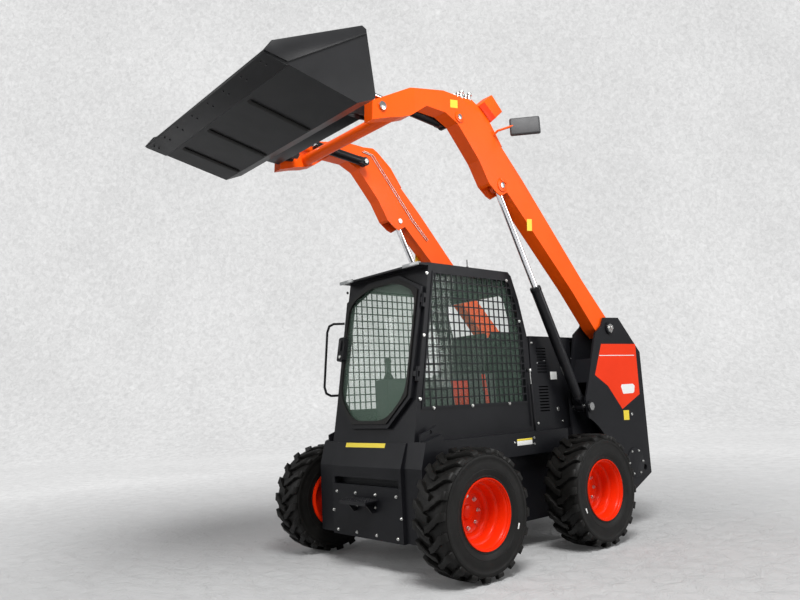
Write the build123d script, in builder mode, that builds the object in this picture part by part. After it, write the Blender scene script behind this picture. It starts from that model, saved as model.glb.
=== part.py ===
"""Skid steer loader: an assembly of separately named pieces, in millimetres.

The machine faces -Y, its left side is +X, and it stands on z = 0. The origin is on the ground
under the middle of the object's box, with the boom raised and the bucket rolled back a little.
Side outlines are drawn on the YZ plane, as (y, z).
"""
from build123d import *
from math import cos, hypot, radians, sin
import os

os.makedirs("parts", exist_ok=True)


def save(piece, label):
    """Name a finished piece and write it as its own node."""
    piece.part.label = label
    export_step(piece.part, f"parts/{label}.step")


def side_plane(x):
    """The YZ plane moved out to x: sketches on it are (y, z), and extrusions run towards +X."""
    return Plane.YZ.offset(x)


# ---------------------------------------------------------------- driving sizes
# cab
cab_half = 470.0
cab_wall = 30.0
cab_front = (-591.0, 1014.0)  # a point on the leaning front face, at the side
cab_lean = radians(10.3)
cab_top_z = 2122.0
roof_thickness = 32.0

# chassis
tub_half = cab_half + 30.0
tub_bottom_z = 205.0
tub_top_z = 866.0
tub_rear_y = 1880.0
wall = 12.0

# towers: an inner and an outer plate each, with an arm between them
plate = 16.0
tower_inner_x = tub_half + 20.0
tower_rear_y = tub_rear_y + 60.0

# boom, in its raised rest position
arm_side_gap = 10.0
arm_width = 118.0
arm_inner_x = tower_inner_x + plate + arm_side_gap
arm_outer_x = arm_inner_x + arm_width
arm_mid_x = (arm_inner_x + arm_outer_x) / 2
tower_outer_x = arm_outer_x + arm_side_gap + plate
boom_pivot = (1480.0, 1678.0)         # (y, z) of the tower pin
lift_eye = (247.0, 2750.0)            # rod pin in the arm's chin
lift_base = (1110.0, 1030.0)          # barrel pin in the tower
tilt_base = (-180.0, 3203.0)          # tilt barrel pin on the arm
tilt_eye = (-960.0, 3275.0)           # tilt rod pin on the coupler
bucket_pin = (-900.0, 3118.0)         # arm end pin

pin_gap = 0.05                # radial running clearance at pins

# running gear
mid_y = 195.0                 # the wheelbase's middle, behind the origin
wheelbase = 1304.0
front_axle_y = mid_y - wheelbase / 2
rear_axle_y = mid_y + wheelbase / 2
tyre_radius = 415.0
hub_z = tyre_radius
tyre_inner_x = arm_outer_x + 10.0
tyre_width = 284.0
rim_radius = 224.0
bead_radius = 209.0

# nose and sills
cover_front_y = front_axle_y - 233.0
sill_half = arm_inner_x + 39.0
sill_bottom_z = 700.0


def length(a, b):
    return hypot(b[0] - a[0], b[1] - a[1])


def along(a, b, distance, out=0.0):
    """The point at a distance from a towards b, moved out to the left of that line."""
    run = length(a, b)
    u = ((b[0] - a[0]) / run, (b[1] - a[1]) / run)
    return (a[0] + u[0] * distance - u[1] * out, a[1] + u[1] * distance + u[0] * out)


def line_plane(a, b, x):
    """A plane square to the line from a to b, at the side position x: its z runs from a to b."""
    return Plane(origin=(x, a[0], a[1]), x_dir=(1, 0, 0), z_dir=(0, b[0] - a[0], b[1] - a[1]))


# ---------------------------------------------------------------- wheels
tyre_outer_x = tyre_inner_x + tyre_width
rim_face_x = tyre_outer_x - 26.0
rim_inner_x = tyre_inner_x + 22.0
disc_x = rim_inner_x + 62.0
hub_radius = 98.0
hub_face_x = rim_inner_x - 40.0
wheels = (("front_left", front_axle_y, 1), ("front_right", front_axle_y, -1),
          ("rear_left", rear_axle_y, 1), ("rear_right", rear_axle_y, -1))

# a tyre's half section as (x, radius), turned about the X axis through its hub
with BuildPart() as tyre:
    with BuildSketch(Plane.XY):
        with BuildLine():
            Polyline((rim_inner_x, rim_radius + 1), (rim_inner_x, bead_radius), (rim_face_x, bead_radius),
                     (rim_face_x, rim_radius + 1))
            ThreePointArc((rim_face_x, rim_radius + 1), (tyre_outer_x, 300), (tyre_outer_x - 18, 372))
            Polyline((tyre_outer_x - 18, 372), (tyre_outer_x - 34, tyre_radius),
                     (tyre_inner_x + 34, tyre_radius), (tyre_inner_x + 18, 372))
            ThreePointArc((tyre_inner_x + 18, 372), (tyre_inner_x, 300), (rim_inner_x, rim_radius + 1))
        make_face()
    revolve(axis=Axis.X)

# a rim: barrel with two flanges, a deep dish and the hub flange behind it
rim_gap = 0.3
flange = 15.0
rim_wall = 9.0
with BuildPart() as rim:
    with BuildSketch(Plane.XY):
        with BuildLine():
            Polyline((rim_inner_x - rim_gap, rim_radius), (rim_inner_x - rim_gap, bead_radius - rim_gap),
                     (rim_face_x + rim_gap, bead_radius - rim_gap), (rim_face_x + rim_gap, rim_radius),
                     (rim_face_x + flange, rim_radius), (rim_face_x + flange, bead_radius - rim_wall),
                     (disc_x + 70, bead_radius - 28), (disc_x + 40, 150), (disc_x + rim_wall, 138),
                     (disc_x + rim_wall, 0), (disc_x, 0), (disc_x, bead_radius - rim_wall - 12),
                     (rim_inner_x - flange, bead_radius - rim_wall),
                     (rim_inner_x - flange, rim_radius), close=True)
        make_face()
    revolve(axis=Axis.X)
    with BuildSketch(side_plane(disc_x)):
        Circle(hub_radius)
    extrude(amount=hub_face_x - disc_x)
    with BuildSketch(side_plane(disc_x + rim_wall)):
        Circle(62)
    extrude(amount=38)

for wheel, axle_y, side in wheels:
    for kind, source in (("tyre", tyre), ("rim", rim)):
        with BuildPart() as placed:
            body = source.part if side > 0 else source.part.mirror(Plane.YZ)
            add(body.moved(Location((0, axle_y, hub_z))))
        save(placed, f"{kind}_{wheel}")

# axle tubes: four flanged tubes out of the tub's sides, one up to each hub
axle_radius = 72.0
hub_gap = 0.3
with BuildPart() as axle_tubes:
    for wheel, axle_y, side in wheels:
        with BuildSketch(side_plane(side * tub_half)):
            with Locations((axle_y, hub_z)):
                Circle(axle_radius + 34)
        extrude(amount=side * 20)
        with BuildSketch(side_plane(side * tub_half)):
            with Locations((axle_y, hub_z)):
                Circle(axle_radius)
        extrude(amount=side * (hub_face_x - hub_gap - tub_half))
save(axle_tubes, "axle_tubes")

# ---------------------------------------------------------------- chassis
tub_front_y = cover_front_y + 85.0
bay_front_y = 760.0
sill_rear_y = 930.0
with BuildPart() as chassis_tub:
    with BuildSketch(side_plane(-tub_half)):
        Polygon((tub_front_y, tub_bottom_z), (tub_front_y, tub_top_z), (tub_rear_y, tub_top_z),
                (tub_rear_y, tub_bottom_z + 130), (tub_rear_y - 300, tub_bottom_z), align=None)
    extrude(amount=2 * tub_half)
    # engine bay, open upwards and to the rear door
    with BuildSketch(side_plane(-tub_half + wall)):
        Polygon((bay_front_y, tub_bottom_z + wall), (bay_front_y, tub_top_z + 1),
                (tub_rear_y + 1, tub_top_z + 1), (tub_rear_y + 1, tub_bottom_z + 260),
                (tub_rear_y - wall, tub_bottom_z + 260), (tub_rear_y - wall, tub_bottom_z + 140),
                (tub_rear_y - 306, tub_bottom_z + wall), align=None)
    extrude(amount=2 * (tub_half - wall), mode=Mode.SUBTRACT)
save(chassis_tub, "chassis_tub")

# side sills along the tub, under the boom's lowered place
with BuildPart() as side_sills:
    for side in (-1, 1):
        with BuildSketch(side_plane(side * tub_half)):
            Polygon((tub_front_y, sill_bottom_z), (tub_front_y, tub_top_z), (sill_rear_y, tub_top_z),
                    (sill_rear_y, sill_bottom_z + 60), (sill_rear_y - 60, sill_bottom_z), align=None)
        extrude(amount=side * (sill_half - tub_half))
save(side_sills, "side_sills")

# front cover: a leaning nose above a bolted flat panel, with a step slot between
nose_top_y = cover_front_y + 73.0
strip_back = 24.0
panel_half = 398.0
slot_z = (566.0, 618.0)
nose_z = 695.0
with BuildPart() as front_cover:
    with BuildSketch(side_plane(-sill_half)):
        Polygon((cover_front_y + strip_back, tub_bottom_z + 5), (cover_front_y + strip_back, nose_z),
                (nose_top_y, tub_top_z), (tub_front_y, tub_top_z),
                (tub_front_y, tub_bottom_z + 5), align=None)
    extrude(amount=2 * sill_half)
    with BuildSketch(side_plane(-panel_half)):
        Polygon((cover_front_y, tub_bottom_z), (cover_front_y, nose_z), (nose_top_y - 12, tub_top_z - 6),
                (nose_top_y + 12, tub_top_z - 6), (nose_top_y + 12, tub_bottom_z), align=None)
    extrude(amount=2 * panel_half)
    with Locations((0, cover_front_y + 30, (slot_z[0] + slot_z[1]) / 2)):
        Box(2 * panel_half - 60, 62, slot_z[1] - slot_z[0], mode=Mode.SUBTRACT)
save(front_cover, "front_cover")

# step: a tread plate on two brackets, bolted to the front panel
step_half = 150.0
step_z = 478.0
step_depth = 118.0
with BuildPart() as front_step:
    with BuildSketch(side_plane(-step_half)):
        Polygon((cover_front_y, step_z - 8), (cover_front_y, step_z), (cover_front_y - step_depth, step_z - 6),
                (cover_front_y - step_depth, step_z - 30), (cover_front_y - step_depth + 8, step_z - 30),
                (cover_front_y - step_depth + 8, step_z - 14), align=None)
    extrude(amount=2 * step_half)
    for bracket_x in (-110.0, 102.0):
        with BuildSketch(side_plane(bracket_x)):
            Polygon((cover_front_y, step_z - 8), (cover_front_y, step_z - 90),
                    (cover_front_y - 30, step_z - 90), (cover_front_y - step_depth + 20, step_z - 12),
                    align=None)
        extrude(amount=8)
save(front_step, "front_step")

# boom stops: a full-height plate beside the nose and a low pad under each arm
stop_plate_x = arm_inner_x - 12.0
front_tie_radius = 13.0
front_tie_down = (nose_top_y + 95.0, tub_top_z + 62.0)
with BuildPart() as boom_stops:
    for side in (-1, 1):
        with BuildSketch(side_plane(side * (stop_plate_x - 14))):
            Polygon((nose_top_y, tub_top_z), (nose_top_y - 2, tub_top_z + 49), (nose_top_y + 150, tub_top_z + 102),
                    (nose_top_y + 180, tub_top_z), align=None)
        extrude(amount=side * 14)
        with BuildSketch(side_plane(side * stop_plate_x)):
            Polygon((nose_top_y + 6, tub_top_z), (nose_top_y + 6, tub_top_z + 5),
                    (nose_top_y + 150, tub_top_z + 43), (nose_top_y + 170, tub_top_z), align=None)
        extrude(amount=side * (sill_half - stop_plate_x))
    for side in (-1, 1):
        with BuildSketch(side_plane(side * (stop_plate_x - 14))):
            with Locations(front_tie_down):
                Circle(front_tie_radius)
        extrude(amount=side * 14, mode=Mode.SUBTRACT)
save(boom_stops, "boom_stops")

# ---------------------------------------------------------------- towers
arch_radius = 575.0
tower_skirt = (tower_rear_y - 350.0, 280.0)      # the outer plate's lowest corner
tower_foot_z = 425.0
tower_back_z = 1478.0
tower_front_y = 1060.0


def tower_outline(front_step_back):
    """Side outline of a tower plate, from its front foot round the top to the rear."""
    return ((tower_front_y, 1082), (1275 - front_step_back, 1632), (1380 - front_step_back, 1700),
            (1420 - front_step_back, 1768), (1640, 1776), (tower_rear_y, tower_back_z), (tower_rear_y, tower_foot_z))


arch_top = (rear_axle_y + arch_radius * cos(radians(66)), hub_z + arch_radius * sin(radians(66)))
arch_mid = (rear_axle_y + arch_radius * cos(radians(30)), hub_z + arch_radius * sin(radians(30)))
arch_end = (rear_axle_y + arch_radius * cos(radians(-6)), hub_z + arch_radius * sin(radians(-6)))
tie_down_radius = 25.0
rear_tie_down = (tower_rear_y - 90.0, tower_foot_z + 55.0)
pivot_radius = 27.0
base_pin_radius = 22.0
boss_radius = 52.0
tower_bores = ((boom_pivot, pivot_radius), (lift_base, base_pin_radius))
boss_thick = 14.0

# outer plates, cut round the rear wheels, with pin bosses and a tie-down hole in each rear foot
with BuildPart() as tower_outer_plates:
    with BuildSketch(side_plane(tower_outer_x - plate)):
        with BuildLine():
            Polyline(arch_top, *tower_outline(0), tower_skirt, arch_end)
            ThreePointArc(arch_end, arch_mid, arch_top)
        make_face()
        with Locations(rear_tie_down):
            Circle(tie_down_radius, mode=Mode.SUBTRACT)
    extrude(amount=plate)
    for centre, radius in ((boom_pivot, boss_radius), (lift_base, boss_radius - 8)):
        with BuildSketch(side_plane(tower_outer_x)):
            with Locations(centre):
                Circle(radius)
        extrude(amount=boss_thick)
    for centre, radius in tower_bores:
        with BuildSketch(side_plane(tower_outer_x - plate)):
            with Locations(centre):
                Circle(radius)
        extrude(amount=plate + boss_thick, mode=Mode.SUBTRACT)
    mirror(about=Plane.YZ)
save(tower_outer_plates, "tower_outer_plates")

# inner plates, each with a foot on the tub's side
foot_low_z = tub_top_z - 60.0
foot_rear_y = tower_rear_y - 380.0
with BuildPart() as tower_inner_plates:
    with BuildSketch(side_plane(tower_inner_x)):
        Polygon((tower_front_y, foot_low_z), *tower_outline(85), (tower_rear_y - 300, tower_foot_z),
                (foot_rear_y, foot_low_z), align=None)
    extrude(amount=plate)
    for centre, radius in tower_bores:
        with BuildSketch(side_plane(tower_inner_x)):
            with Locations(centre):
                Circle(radius)
        extrude(amount=plate, mode=Mode.SUBTRACT)
    with BuildSketch(side_plane(tub_half)):
        Polygon((tower_front_y, foot_low_z), (tower_front_y, tub_top_z - 6), (foot_rear_y, tub_top_z - 6),
                (foot_rear_y, foot_low_z), align=None)
    extrude(amount=tower_inner_x - tub_half)
    mirror(about=Plane.YZ)
save(tower_inner_plates, "tower_inner_plates")

# a rear plate and a front web between the two plates of each tower
with BuildPart() as tower_webs:
    with BuildSketch(side_plane(tower_inner_x + plate)):
        Polygon((tower_rear_y - plate, tower_foot_z), (tower_rear_y, tower_foot_z), (tower_rear_y, tower_back_z),
                (tower_rear_y - plate, tower_back_z), align=None)
        Polygon((1112, 1225), (1190, 1420), (1215, 1420), (1137, 1225), align=None)
    extrude(amount=tower_outer_x - tower_inner_x - 2 * plate)
    mirror(about=Plane.YZ)
save(tower_webs, "tower_webs")

with BuildPart() as tower_pins:
    for side in (-1, 1):
        for centre, radius in ((boom_pivot, pivot_radius), (lift_base, base_pin_radius)):
            with BuildSketch(side_plane(side * tower_inner_x)):
                with Locations(centre):
                    Circle(radius)
            extrude(amount=side * (tower_outer_x - tower_inner_x + 14))
            with BuildSketch(side_plane(side * (tower_outer_x + 14))):
                with Locations(centre):
                    Circle(radius + 9)
            extrude(amount=side * 7)
save(tower_pins, "tower_pins")

# ---------------------------------------------------------------- engine and its covers
engine_size = (620.0, 780.0, 640.0)
engine_front_y = bay_front_y + 22.0
with BuildPart() as engine_block:
    with BuildSketch(Plane.XY.offset(tub_bottom_z + wall)):
        with Locations((0, engine_front_y + engine_size[1] / 2)):
            Rectangle(engine_size[0], engine_size[1])
    extrude(amount=engine_size[2])
save(engine_block, "engine_block")

side_panel_x = cab_half + 8.0
panel_top_z = 1600.0
cab_rear_y = 655.0
panel_front_y = cab_rear_y + 6.0
panel_rear_y = 1200.0
louvre_y = (panel_front_y + 79, panel_front_y + 199)
louvre_zs = (1420.0, 1110.0)
louvre_count = 9
louvre_pitch = 24.0
with BuildPart() as side_panels:
    for side in (-1, 1):
        with BuildSketch(side_plane(side * side_panel_x)):
            Polygon((panel_front_y, tub_top_z), (panel_front_y, panel_top_z), (panel_rear_y, panel_top_z),
                    (panel_rear_y, tub_top_z), align=None)
        extrude(amount=-side * wall)
        with BuildSketch(side_plane(side * side_panel_x)):
            for louvre_z in louvre_zs:
                with Locations(((louvre_y[0] + louvre_y[1]) / 2, louvre_z)):
                    with GridLocations(0, louvre_pitch, 1, louvre_count):
                        Rectangle(louvre_y[1] - louvre_y[0], 10)
        extrude(amount=-side * wall, mode=Mode.SUBTRACT)
save(side_panels, "side_panels")

hood_rear_y = tub_rear_y - 80.0
hood_thick = 14.0
hood_rear_z = 1476.0
hood_bend_y = hood_rear_y - 280.0
with BuildPart() as hood:
    with BuildSketch(side_plane(-side_panel_x)):
        Polygon((panel_front_y, panel_top_z), (panel_front_y, panel_top_z + hood_thick),
                (hood_bend_y, panel_top_z + hood_thick), (hood_rear_y, hood_rear_z + hood_thick),
                (hood_rear_y, hood_rear_z), (hood_bend_y - 5, panel_top_z), align=None)
    extrude(amount=2 * side_panel_x)
    with BuildSketch(Plane.XY.offset(panel_top_z - 1)):
        with Locations((0, 1240)):
            with GridLocations(0, 34, 1, 14):
                Rectangle(640, 18)
    extrude(amount=20, mode=Mode.SUBTRACT)
save(hood, "hood")

# rear door, hinged on the machine's left, with a louvred field
door_half = 440.0
rear_door_z = (480.0, 1470.0)
rear_door_y = tub_rear_y + 6.0
rear_door_thick = 34.0
rear_hinge = (door_half + 22.0, rear_door_y + 26.0)
rear_knuckle_radius = 12.0
rear_pin_radius = 7.0
rear_knuckle_zs = (640.0, 1240.0)
with BuildPart() as rear_door:
    with BuildSketch(Plane.XZ.offset(-rear_door_y)):
        with Locations((0, (rear_door_z[0] + rear_door_z[1]) / 2)):
            RectangleRounded(2 * door_half, rear_door_z[1] - rear_door_z[0], 40)
    extrude(amount=-rear_door_thick)
    with BuildSketch(Plane.XZ.offset(-rear_door_y)):
        with Locations((0, 1120)):
            with GridLocations(0, 46, 1, 11):
                Rectangle(600, 24)
    extrude(amount=-rear_door_thick, mode=Mode.SUBTRACT)
    # hinge knuckles on the door's left edge
    for z in rear_knuckle_zs:
        with BuildSketch(Plane.XY.offset(z)):
            with Locations(rear_hinge):
                Circle(rear_knuckle_radius)
            with Locations((rear_hinge[0] - 16, rear_hinge[1] - 4)):
                Rectangle(32, 14)
        extrude(amount=60)
        with BuildSketch(Plane.XY.offset(z)):
            with Locations(rear_hinge):
                Circle(rear_pin_radius + pin_gap)
        extrude(amount=60, mode=Mode.SUBTRACT)
save(rear_door, "rear_door")

# ---------------------------------------------------------------- cab
def front_plane(out=0.0):
    """The cab's leaning front face, moved out along its normal; local y runs up the slope."""
    normal = (0, -cos(cab_lean), sin(cab_lean))
    origin = (0, cab_front[0] + out * normal[1], cab_front[1] + out * normal[2])
    return Plane(origin=origin, x_dir=(1, 0, 0), z_dir=normal)


def front_y(z):
    """How far forward the cab's front face is at a height."""
    return cab_front[0] + (z - cab_front[1]) * sin(cab_lean) / cos(cab_lean)


def slope(z):
    """Height turned into distance up the front face."""
    return (z - cab_front[1]) / cos(cab_lean)


def cab_outline(inset):
    """Side outline of the cab shell, inset all round."""
    top_z = cab_top_z - roof_thickness
    return ((front_y(tub_top_z) + inset, tub_top_z + inset), (front_y(top_z) + inset, top_z - inset),
            (505 - inset, top_z - inset), (573 - inset, 1905), (640 - inset, 1640),
            (cab_rear_y - inset, 1560), (cab_rear_y - inset, tub_top_z + inset))


# the front glass as half widths at four heights
glass_points = ((200.0, 985.0), (397.0, 1174.0), (416.0, 1926.0), (180.0, 2036.0))


def glass_outline():
    """The door glass as a closed outline on the front plane."""
    right = [(half, slope(z)) for half, z in glass_points]
    left = [(-half, slope(z)) for half, z in reversed(glass_points)]
    return right + left


screen_low_z = 1095.0
screen_high_z = 2052.0
post = 52.0
screen_outline = ((front_y(screen_low_z) + post, screen_low_z), (front_y(screen_high_z) + post, screen_high_z),
                  (455, screen_high_z), (522, 1890), (585, 1640), (585, screen_low_z))
with BuildPart() as cab_frame:
    with BuildSketch(side_plane(-cab_half)):
        Polygon(*cab_outline(0), align=None)
    extrude(amount=2 * cab_half)
    with BuildSketch(side_plane(-cab_half + cab_wall)):
        Polygon(*cab_outline(cab_wall), align=None)
    extrude(amount=2 * (cab_half - cab_wall), mode=Mode.SUBTRACT)
    # side windows
    with BuildSketch(side_plane(-cab_half)):
        Polygon(*screen_outline, align=None)
    extrude(amount=2 * cab_half, mode=Mode.SUBTRACT)
    # door opening
    with BuildSketch(front_plane()):
        Polygon(*glass_outline(), align=None)
    extrude(amount=-60, mode=Mode.SUBTRACT)
    # rear window
    with BuildSketch(Plane.XZ.offset(-400)):
        with Locations((0, 1800)):
            RectangleRounded(680, 320, 50)
    extrude(amount=-300, mode=Mode.SUBTRACT)
save(cab_frame, "cab_frame")

visor_front = 96.0
visor_thickness = 22.0
with BuildPart() as cab_roof:
    with BuildSketch(side_plane(-cab_half)):
        Polygon((front_y(cab_top_z) - visor_front, cab_top_z - visor_thickness),
                (front_y(cab_top_z) - visor_front, cab_top_z - 8),
                (front_y(cab_top_z), cab_top_z), (470, cab_top_z), (505, cab_top_z - roof_thickness),
                (front_y(cab_top_z - roof_thickness), cab_top_z - roof_thickness),
                (front_y(cab_top_z - roof_thickness), cab_top_z - visor_thickness), align=None)
    extrude(amount=2 * cab_half)
save(cab_roof, "cab_roof")

# side screens: a frame filled with a square mesh
mesh_bar = 9.0
mesh_columns = 21
mesh_rows = 16
screen_thick = 6.0
mesh_y = (-560.0, 600.0)
with BuildPart() as side_screens:
    with BuildSketch(side_plane(cab_half)):
        Polygon(*screen_outline, align=None)
        offset(amount=12, kind=Kind.INTERSECTION, mode=Mode.REPLACE)
    extrude(amount=screen_thick)
    with BuildSketch(side_plane(cab_half)):
        pitch_y = (mesh_y[1] - mesh_y[0]) / mesh_columns
        pitch_z = (screen_high_z - screen_low_z) / mesh_rows
        with Locations(((mesh_y[0] + mesh_y[1]) / 2, (screen_low_z + screen_high_z) / 2)):
            with GridLocations(pitch_y, pitch_z, mesh_columns, mesh_rows):
                Rectangle(pitch_y - mesh_bar, pitch_z - mesh_bar)
        Polygon(*screen_outline, align=None, mode=Mode.INTERSECT)
    extrude(amount=screen_thick, mode=Mode.SUBTRACT)
    mirror(about=Plane.YZ)
save(side_screens, "side_screens")

# fixed windows: one pane inside each side screen, and the rear window
glass = 5.0
with BuildPart() as cab_windows:
    for side in (-1, 1):
        with BuildSketch(side_plane(side * (cab_half - cab_wall))):
            Polygon(*screen_outline, align=None)
            offset(amount=4, kind=Kind.INTERSECTION, mode=Mode.REPLACE)
        extrude(amount=-side * glass)
save(cab_windows, "cab_windows")

# seat, its base, and the two control levers on their consoles
with BuildPart() as seat:
    with BuildSketch(side_plane(-245)):
        Polygon((-90, 1150), (-95, 1215), (330, 1240), (420, 1700), (500, 1700), (450, 1180), (380, 1150),
                align=None)
    extrude(amount=490)
save(seat, "seat")
with BuildPart() as seat_base:
    with BuildSketch(Plane.XY.offset(tub_top_z + cab_wall)):
        with Locations((0, 170)):
            Rectangle(440, 480)
    extrude(amount=1150 - tub_top_z - cab_wall)
save(seat_base, "seat_base")
with BuildPart() as control_levers:
    for side in (-1, 1):
        with Locations((side * 335, 40, 1110)):
            Box(150, 520, 2 * (1110 - tub_top_z - cab_wall))
        with BuildSketch(Plane.XY.offset(1110 + (1110 - tub_top_z - cab_wall))):
            with Locations((side * 320, -160)):
                Circle(16)
        extrude(amount=130)
        with Locations((side * 320, -160, 1324 + 150)):
            Sphere(30)
save(control_levers, "control_levers")

# work lamps on the visor's corners and rear lamps on the towers
work_lamp_size = (170.0, 16.0, 26.0)
rear_lamp_size = (90.0, 12.0, 150.0)
rear_lamp_z = 1330.0
with BuildPart() as lamps:
    for side in (-1, 1):
        with Locations((side * (cab_half - 82), front_y(cab_top_z) - visor_front - work_lamp_size[1] / 2,
                        cab_top_z - 14)):
            Box(*work_lamp_size)
        with Locations((side * arm_mid_x, tower_rear_y + rear_lamp_size[1] / 2, rear_lamp_z)):
            Box(*rear_lamp_size)
save(lamps, "lamps")

# ---------------------------------------------------------------- cab door
door_lift = 5.0
door_thick = 26.0
door_rim = 30.0
hinge_x = cab_half - 10.0
hinge_out = door_lift + door_thick / 2
knuckle_radius = 10.0
hinge_pin_radius = 5.0
knuckle_zs = (1290.0, 1810.0)
latch_x = -(glass_points[2][0] + door_rim - 38)
with BuildPart() as door_frame:
    with BuildSketch(front_plane(door_lift)):
        Polygon(*glass_outline(), align=None)
        offset(amount=door_rim, kind=Kind.INTERSECTION, mode=Mode.REPLACE)
        Polygon(*glass_outline(), align=None, mode=Mode.SUBTRACT)
    extrude(amount=door_thick)
    for z in knuckle_zs:
        knuckle_plane = Plane(origin=front_plane(hinge_out).from_local_coords((hinge_x, slope(z) + 17, 0)),
                              x_dir=(1, 0, 0), z_dir=front_plane().y_dir)
        with BuildSketch(knuckle_plane):
            Circle(knuckle_radius)
            with Locations((-knuckle_radius - 4, 0)):
                Rectangle(2 * knuckle_radius + 8, 2 * knuckle_radius)
        extrude(amount=36)
        with BuildSketch(knuckle_plane):
            Circle(hinge_pin_radius + pin_gap)
        extrude(amount=36, mode=Mode.SUBTRACT)
    # the latch case on the free edge
    with BuildSketch(front_plane(door_lift + door_thick)):
        with Locations((latch_x, slope(1560))):
            RectangleRounded(76, 190, 18)
    extrude(amount=40)
save(door_frame, "door_frame")
with BuildPart() as door_glass:
    with BuildSketch(front_plane(door_lift + 8)):
        Polygon(*glass_outline(), align=None)
    extrude(amount=glass)
save(door_glass, "door_glass")

# hinges: fixed plates on the cab post with pins through the cab door's knuckles, and brackets with
# pins off the left tower for the rear door
with BuildPart() as door_hinges:
    for z in rear_knuckle_zs:
        for bracket_z in (z - 20, z + 62):
            with BuildSketch(Plane.XY.offset(bracket_z)):
                with Locations(rear_hinge):
                    Circle(rear_knuckle_radius)
                with Locations(((rear_hinge[0] + tower_inner_x) / 2, rear_hinge[1])):
                    Rectangle(tower_inner_x - rear_hinge[0], 14)
            extrude(amount=18)
        with BuildSketch(Plane.XY.offset(z - 20)):
            with Locations(rear_hinge):
                Circle(rear_pin_radius)
        extrude(amount=100)
    for z in knuckle_zs:
        with BuildSketch(front_plane()):
            with Locations((hinge_x, slope(z)), (hinge_x, slope(z) + 70)):
                Rectangle(2 * knuckle_radius, 30)
        extrude(amount=hinge_out)
        axis_plane = Plane(origin=front_plane(hinge_out).from_local_coords((hinge_x, slope(z) - 15, 0)),
                           x_dir=(1, 0, 0), z_dir=front_plane().y_dir)
        with BuildSketch(axis_plane):
            Circle(knuckle_radius)
        extrude(amount=30)
        with BuildSketch(axis_plane.offset(70)):
            Circle(knuckle_radius)
        extrude(amount=30)
        with BuildSketch(axis_plane):
            Circle(hinge_pin_radius)
        extrude(amount=100)
save(door_hinges, "door_hinges")

# grab handle beside the door, on the cab's right side
grab_x = -(cab_half + 50.0)
grab_y = 26.0
with BuildPart() as grab_handle:
    with BuildLine():
        grab = FilletPolyline((-cab_half, front_y(1790) + grab_y, 1790), (grab_x, front_y(1790) + grab_y, 1790),
                              (grab_x, front_y(1230) + grab_y, 1230), (-cab_half, front_y(1230) + grab_y, 1230),
                              radius=30)
    with BuildSketch(Plane(origin=grab @ 0, z_dir=grab % 0)):
        Circle(11)
    sweep()
save(grab_handle, "grab_handle")

# ---------------------------------------------------------------- boom
boom_upper = ((-975, 3143), (-654, 3307), (-328, 3371), (-142, 3366), (88, 3255), (500, 2835), (1194, 2072),
              (1500, 1768))
boom_lower = ((1310, 1668), (1027, 1984), (610, 2400), (305, 2704), (231, 2663), (185, 2680), (103, 2742),
              (9, 2905), (-105, 3040), (-200, 3150), (-320, 3205), (-505, 3210), (-655, 3105), (-735, 3075),
              (-850, 3048), (-985, 3005))
arm_end_radius = 88.0
chin_slot = arm_width - 20.0
chin_slot_radius = 52.0
eye_drift = (lift_eye[0] - 74.0, lift_eye[1] - 36.0)      # how far the rod's eye swings off its pin
taper_y = -615.0
taper = 40.0
bucket_pin_radius = 22.0
lift_pin_radius = 22.0
tilt_pin_radius = 20.0
with BuildPart() as lift_arms:
    with BuildSketch(side_plane(arm_inner_x)):
        Polygon(*boom_upper, (1540, 1700), (1500, 1610), (1400, 1600), *boom_lower, align=None)
        with Locations(boom_pivot):
            Circle(arm_end_radius)
    extrude(amount=arm_width)
    # the arm's outer face turns in towards its front end
    with BuildSketch(Plane.XY.offset(2900)):
        Polygon((arm_outer_x, taper_y), (arm_outer_x + 1, taper_y), (arm_outer_x + 1, -1100),
                (arm_outer_x - taper, -1100), align=None)
    extrude(amount=600, mode=Mode.SUBTRACT)
    # slot in the chin for the rod's eye and the barrel's head
    with BuildSketch(side_plane(arm_mid_x - chin_slot / 2)):
        with Locations(lift_eye, eye_drift):
            Circle(chin_slot_radius)
        make_hull()
        Polygon(along(lift_eye, lift_base, 0, chin_slot_radius), along(eye_drift, lift_base, 0, -chin_slot_radius),
                along(eye_drift, lift_base, 330, -chin_slot_radius), along(lift_eye, lift_base, 330, chin_slot_radius),
                align=None)
    extrude(amount=chin_slot, mode=Mode.SUBTRACT)
    for centre, radius in ((boom_pivot, pivot_radius + pin_gap), (lift_eye, lift_pin_radius),
                           (tilt_base, tilt_pin_radius), (bucket_pin, bucket_pin_radius + pin_gap)):
        with BuildSketch(side_plane(arm_inner_x)):
            with Locations(centre):
                Circle(radius)
        extrude(amount=arm_width, mode=Mode.SUBTRACT)
    mirror(about=Plane.YZ)
save(lift_arms, "lift_arms")

cross_centre = (-735.0, 3130.0)
cross_radius = 45.0
with BuildPart() as boom_cross_tube:
    with BuildSketch(side_plane(-arm_inner_x)):
        with Locations(cross_centre):
            Circle(cross_radius)
    extrude(amount=2 * arm_inner_x)
save(boom_cross_tube, "boom_cross_tube")

tilt_x = arm_inner_x - 56.0
tilt_eye_width = 56.0
with BuildPart() as boom_pins:
    for side in (-1, 1):
        # rod pins, one end in each chin plate
        for x0, x1 in ((arm_inner_x - 8, arm_mid_x - chin_slot / 2), (arm_mid_x + chin_slot / 2, arm_outer_x + 3)):
            with BuildSketch(side_plane(side * x0)):
                with Locations(lift_eye):
                    Circle(lift_pin_radius)
            extrude(amount=side * (x1 - x0))
        # tilt barrel pins, through the arm and out on its inner side
        with BuildSketch(side_plane(side * (tilt_x - tilt_eye_width / 2 - 12))):
            with Locations(tilt_base):
                Circle(tilt_pin_radius)
        extrude(amount=side * (arm_outer_x + 5 - tilt_x + tilt_eye_width / 2 + 12))
save(boom_pins, "boom_pins")

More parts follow.
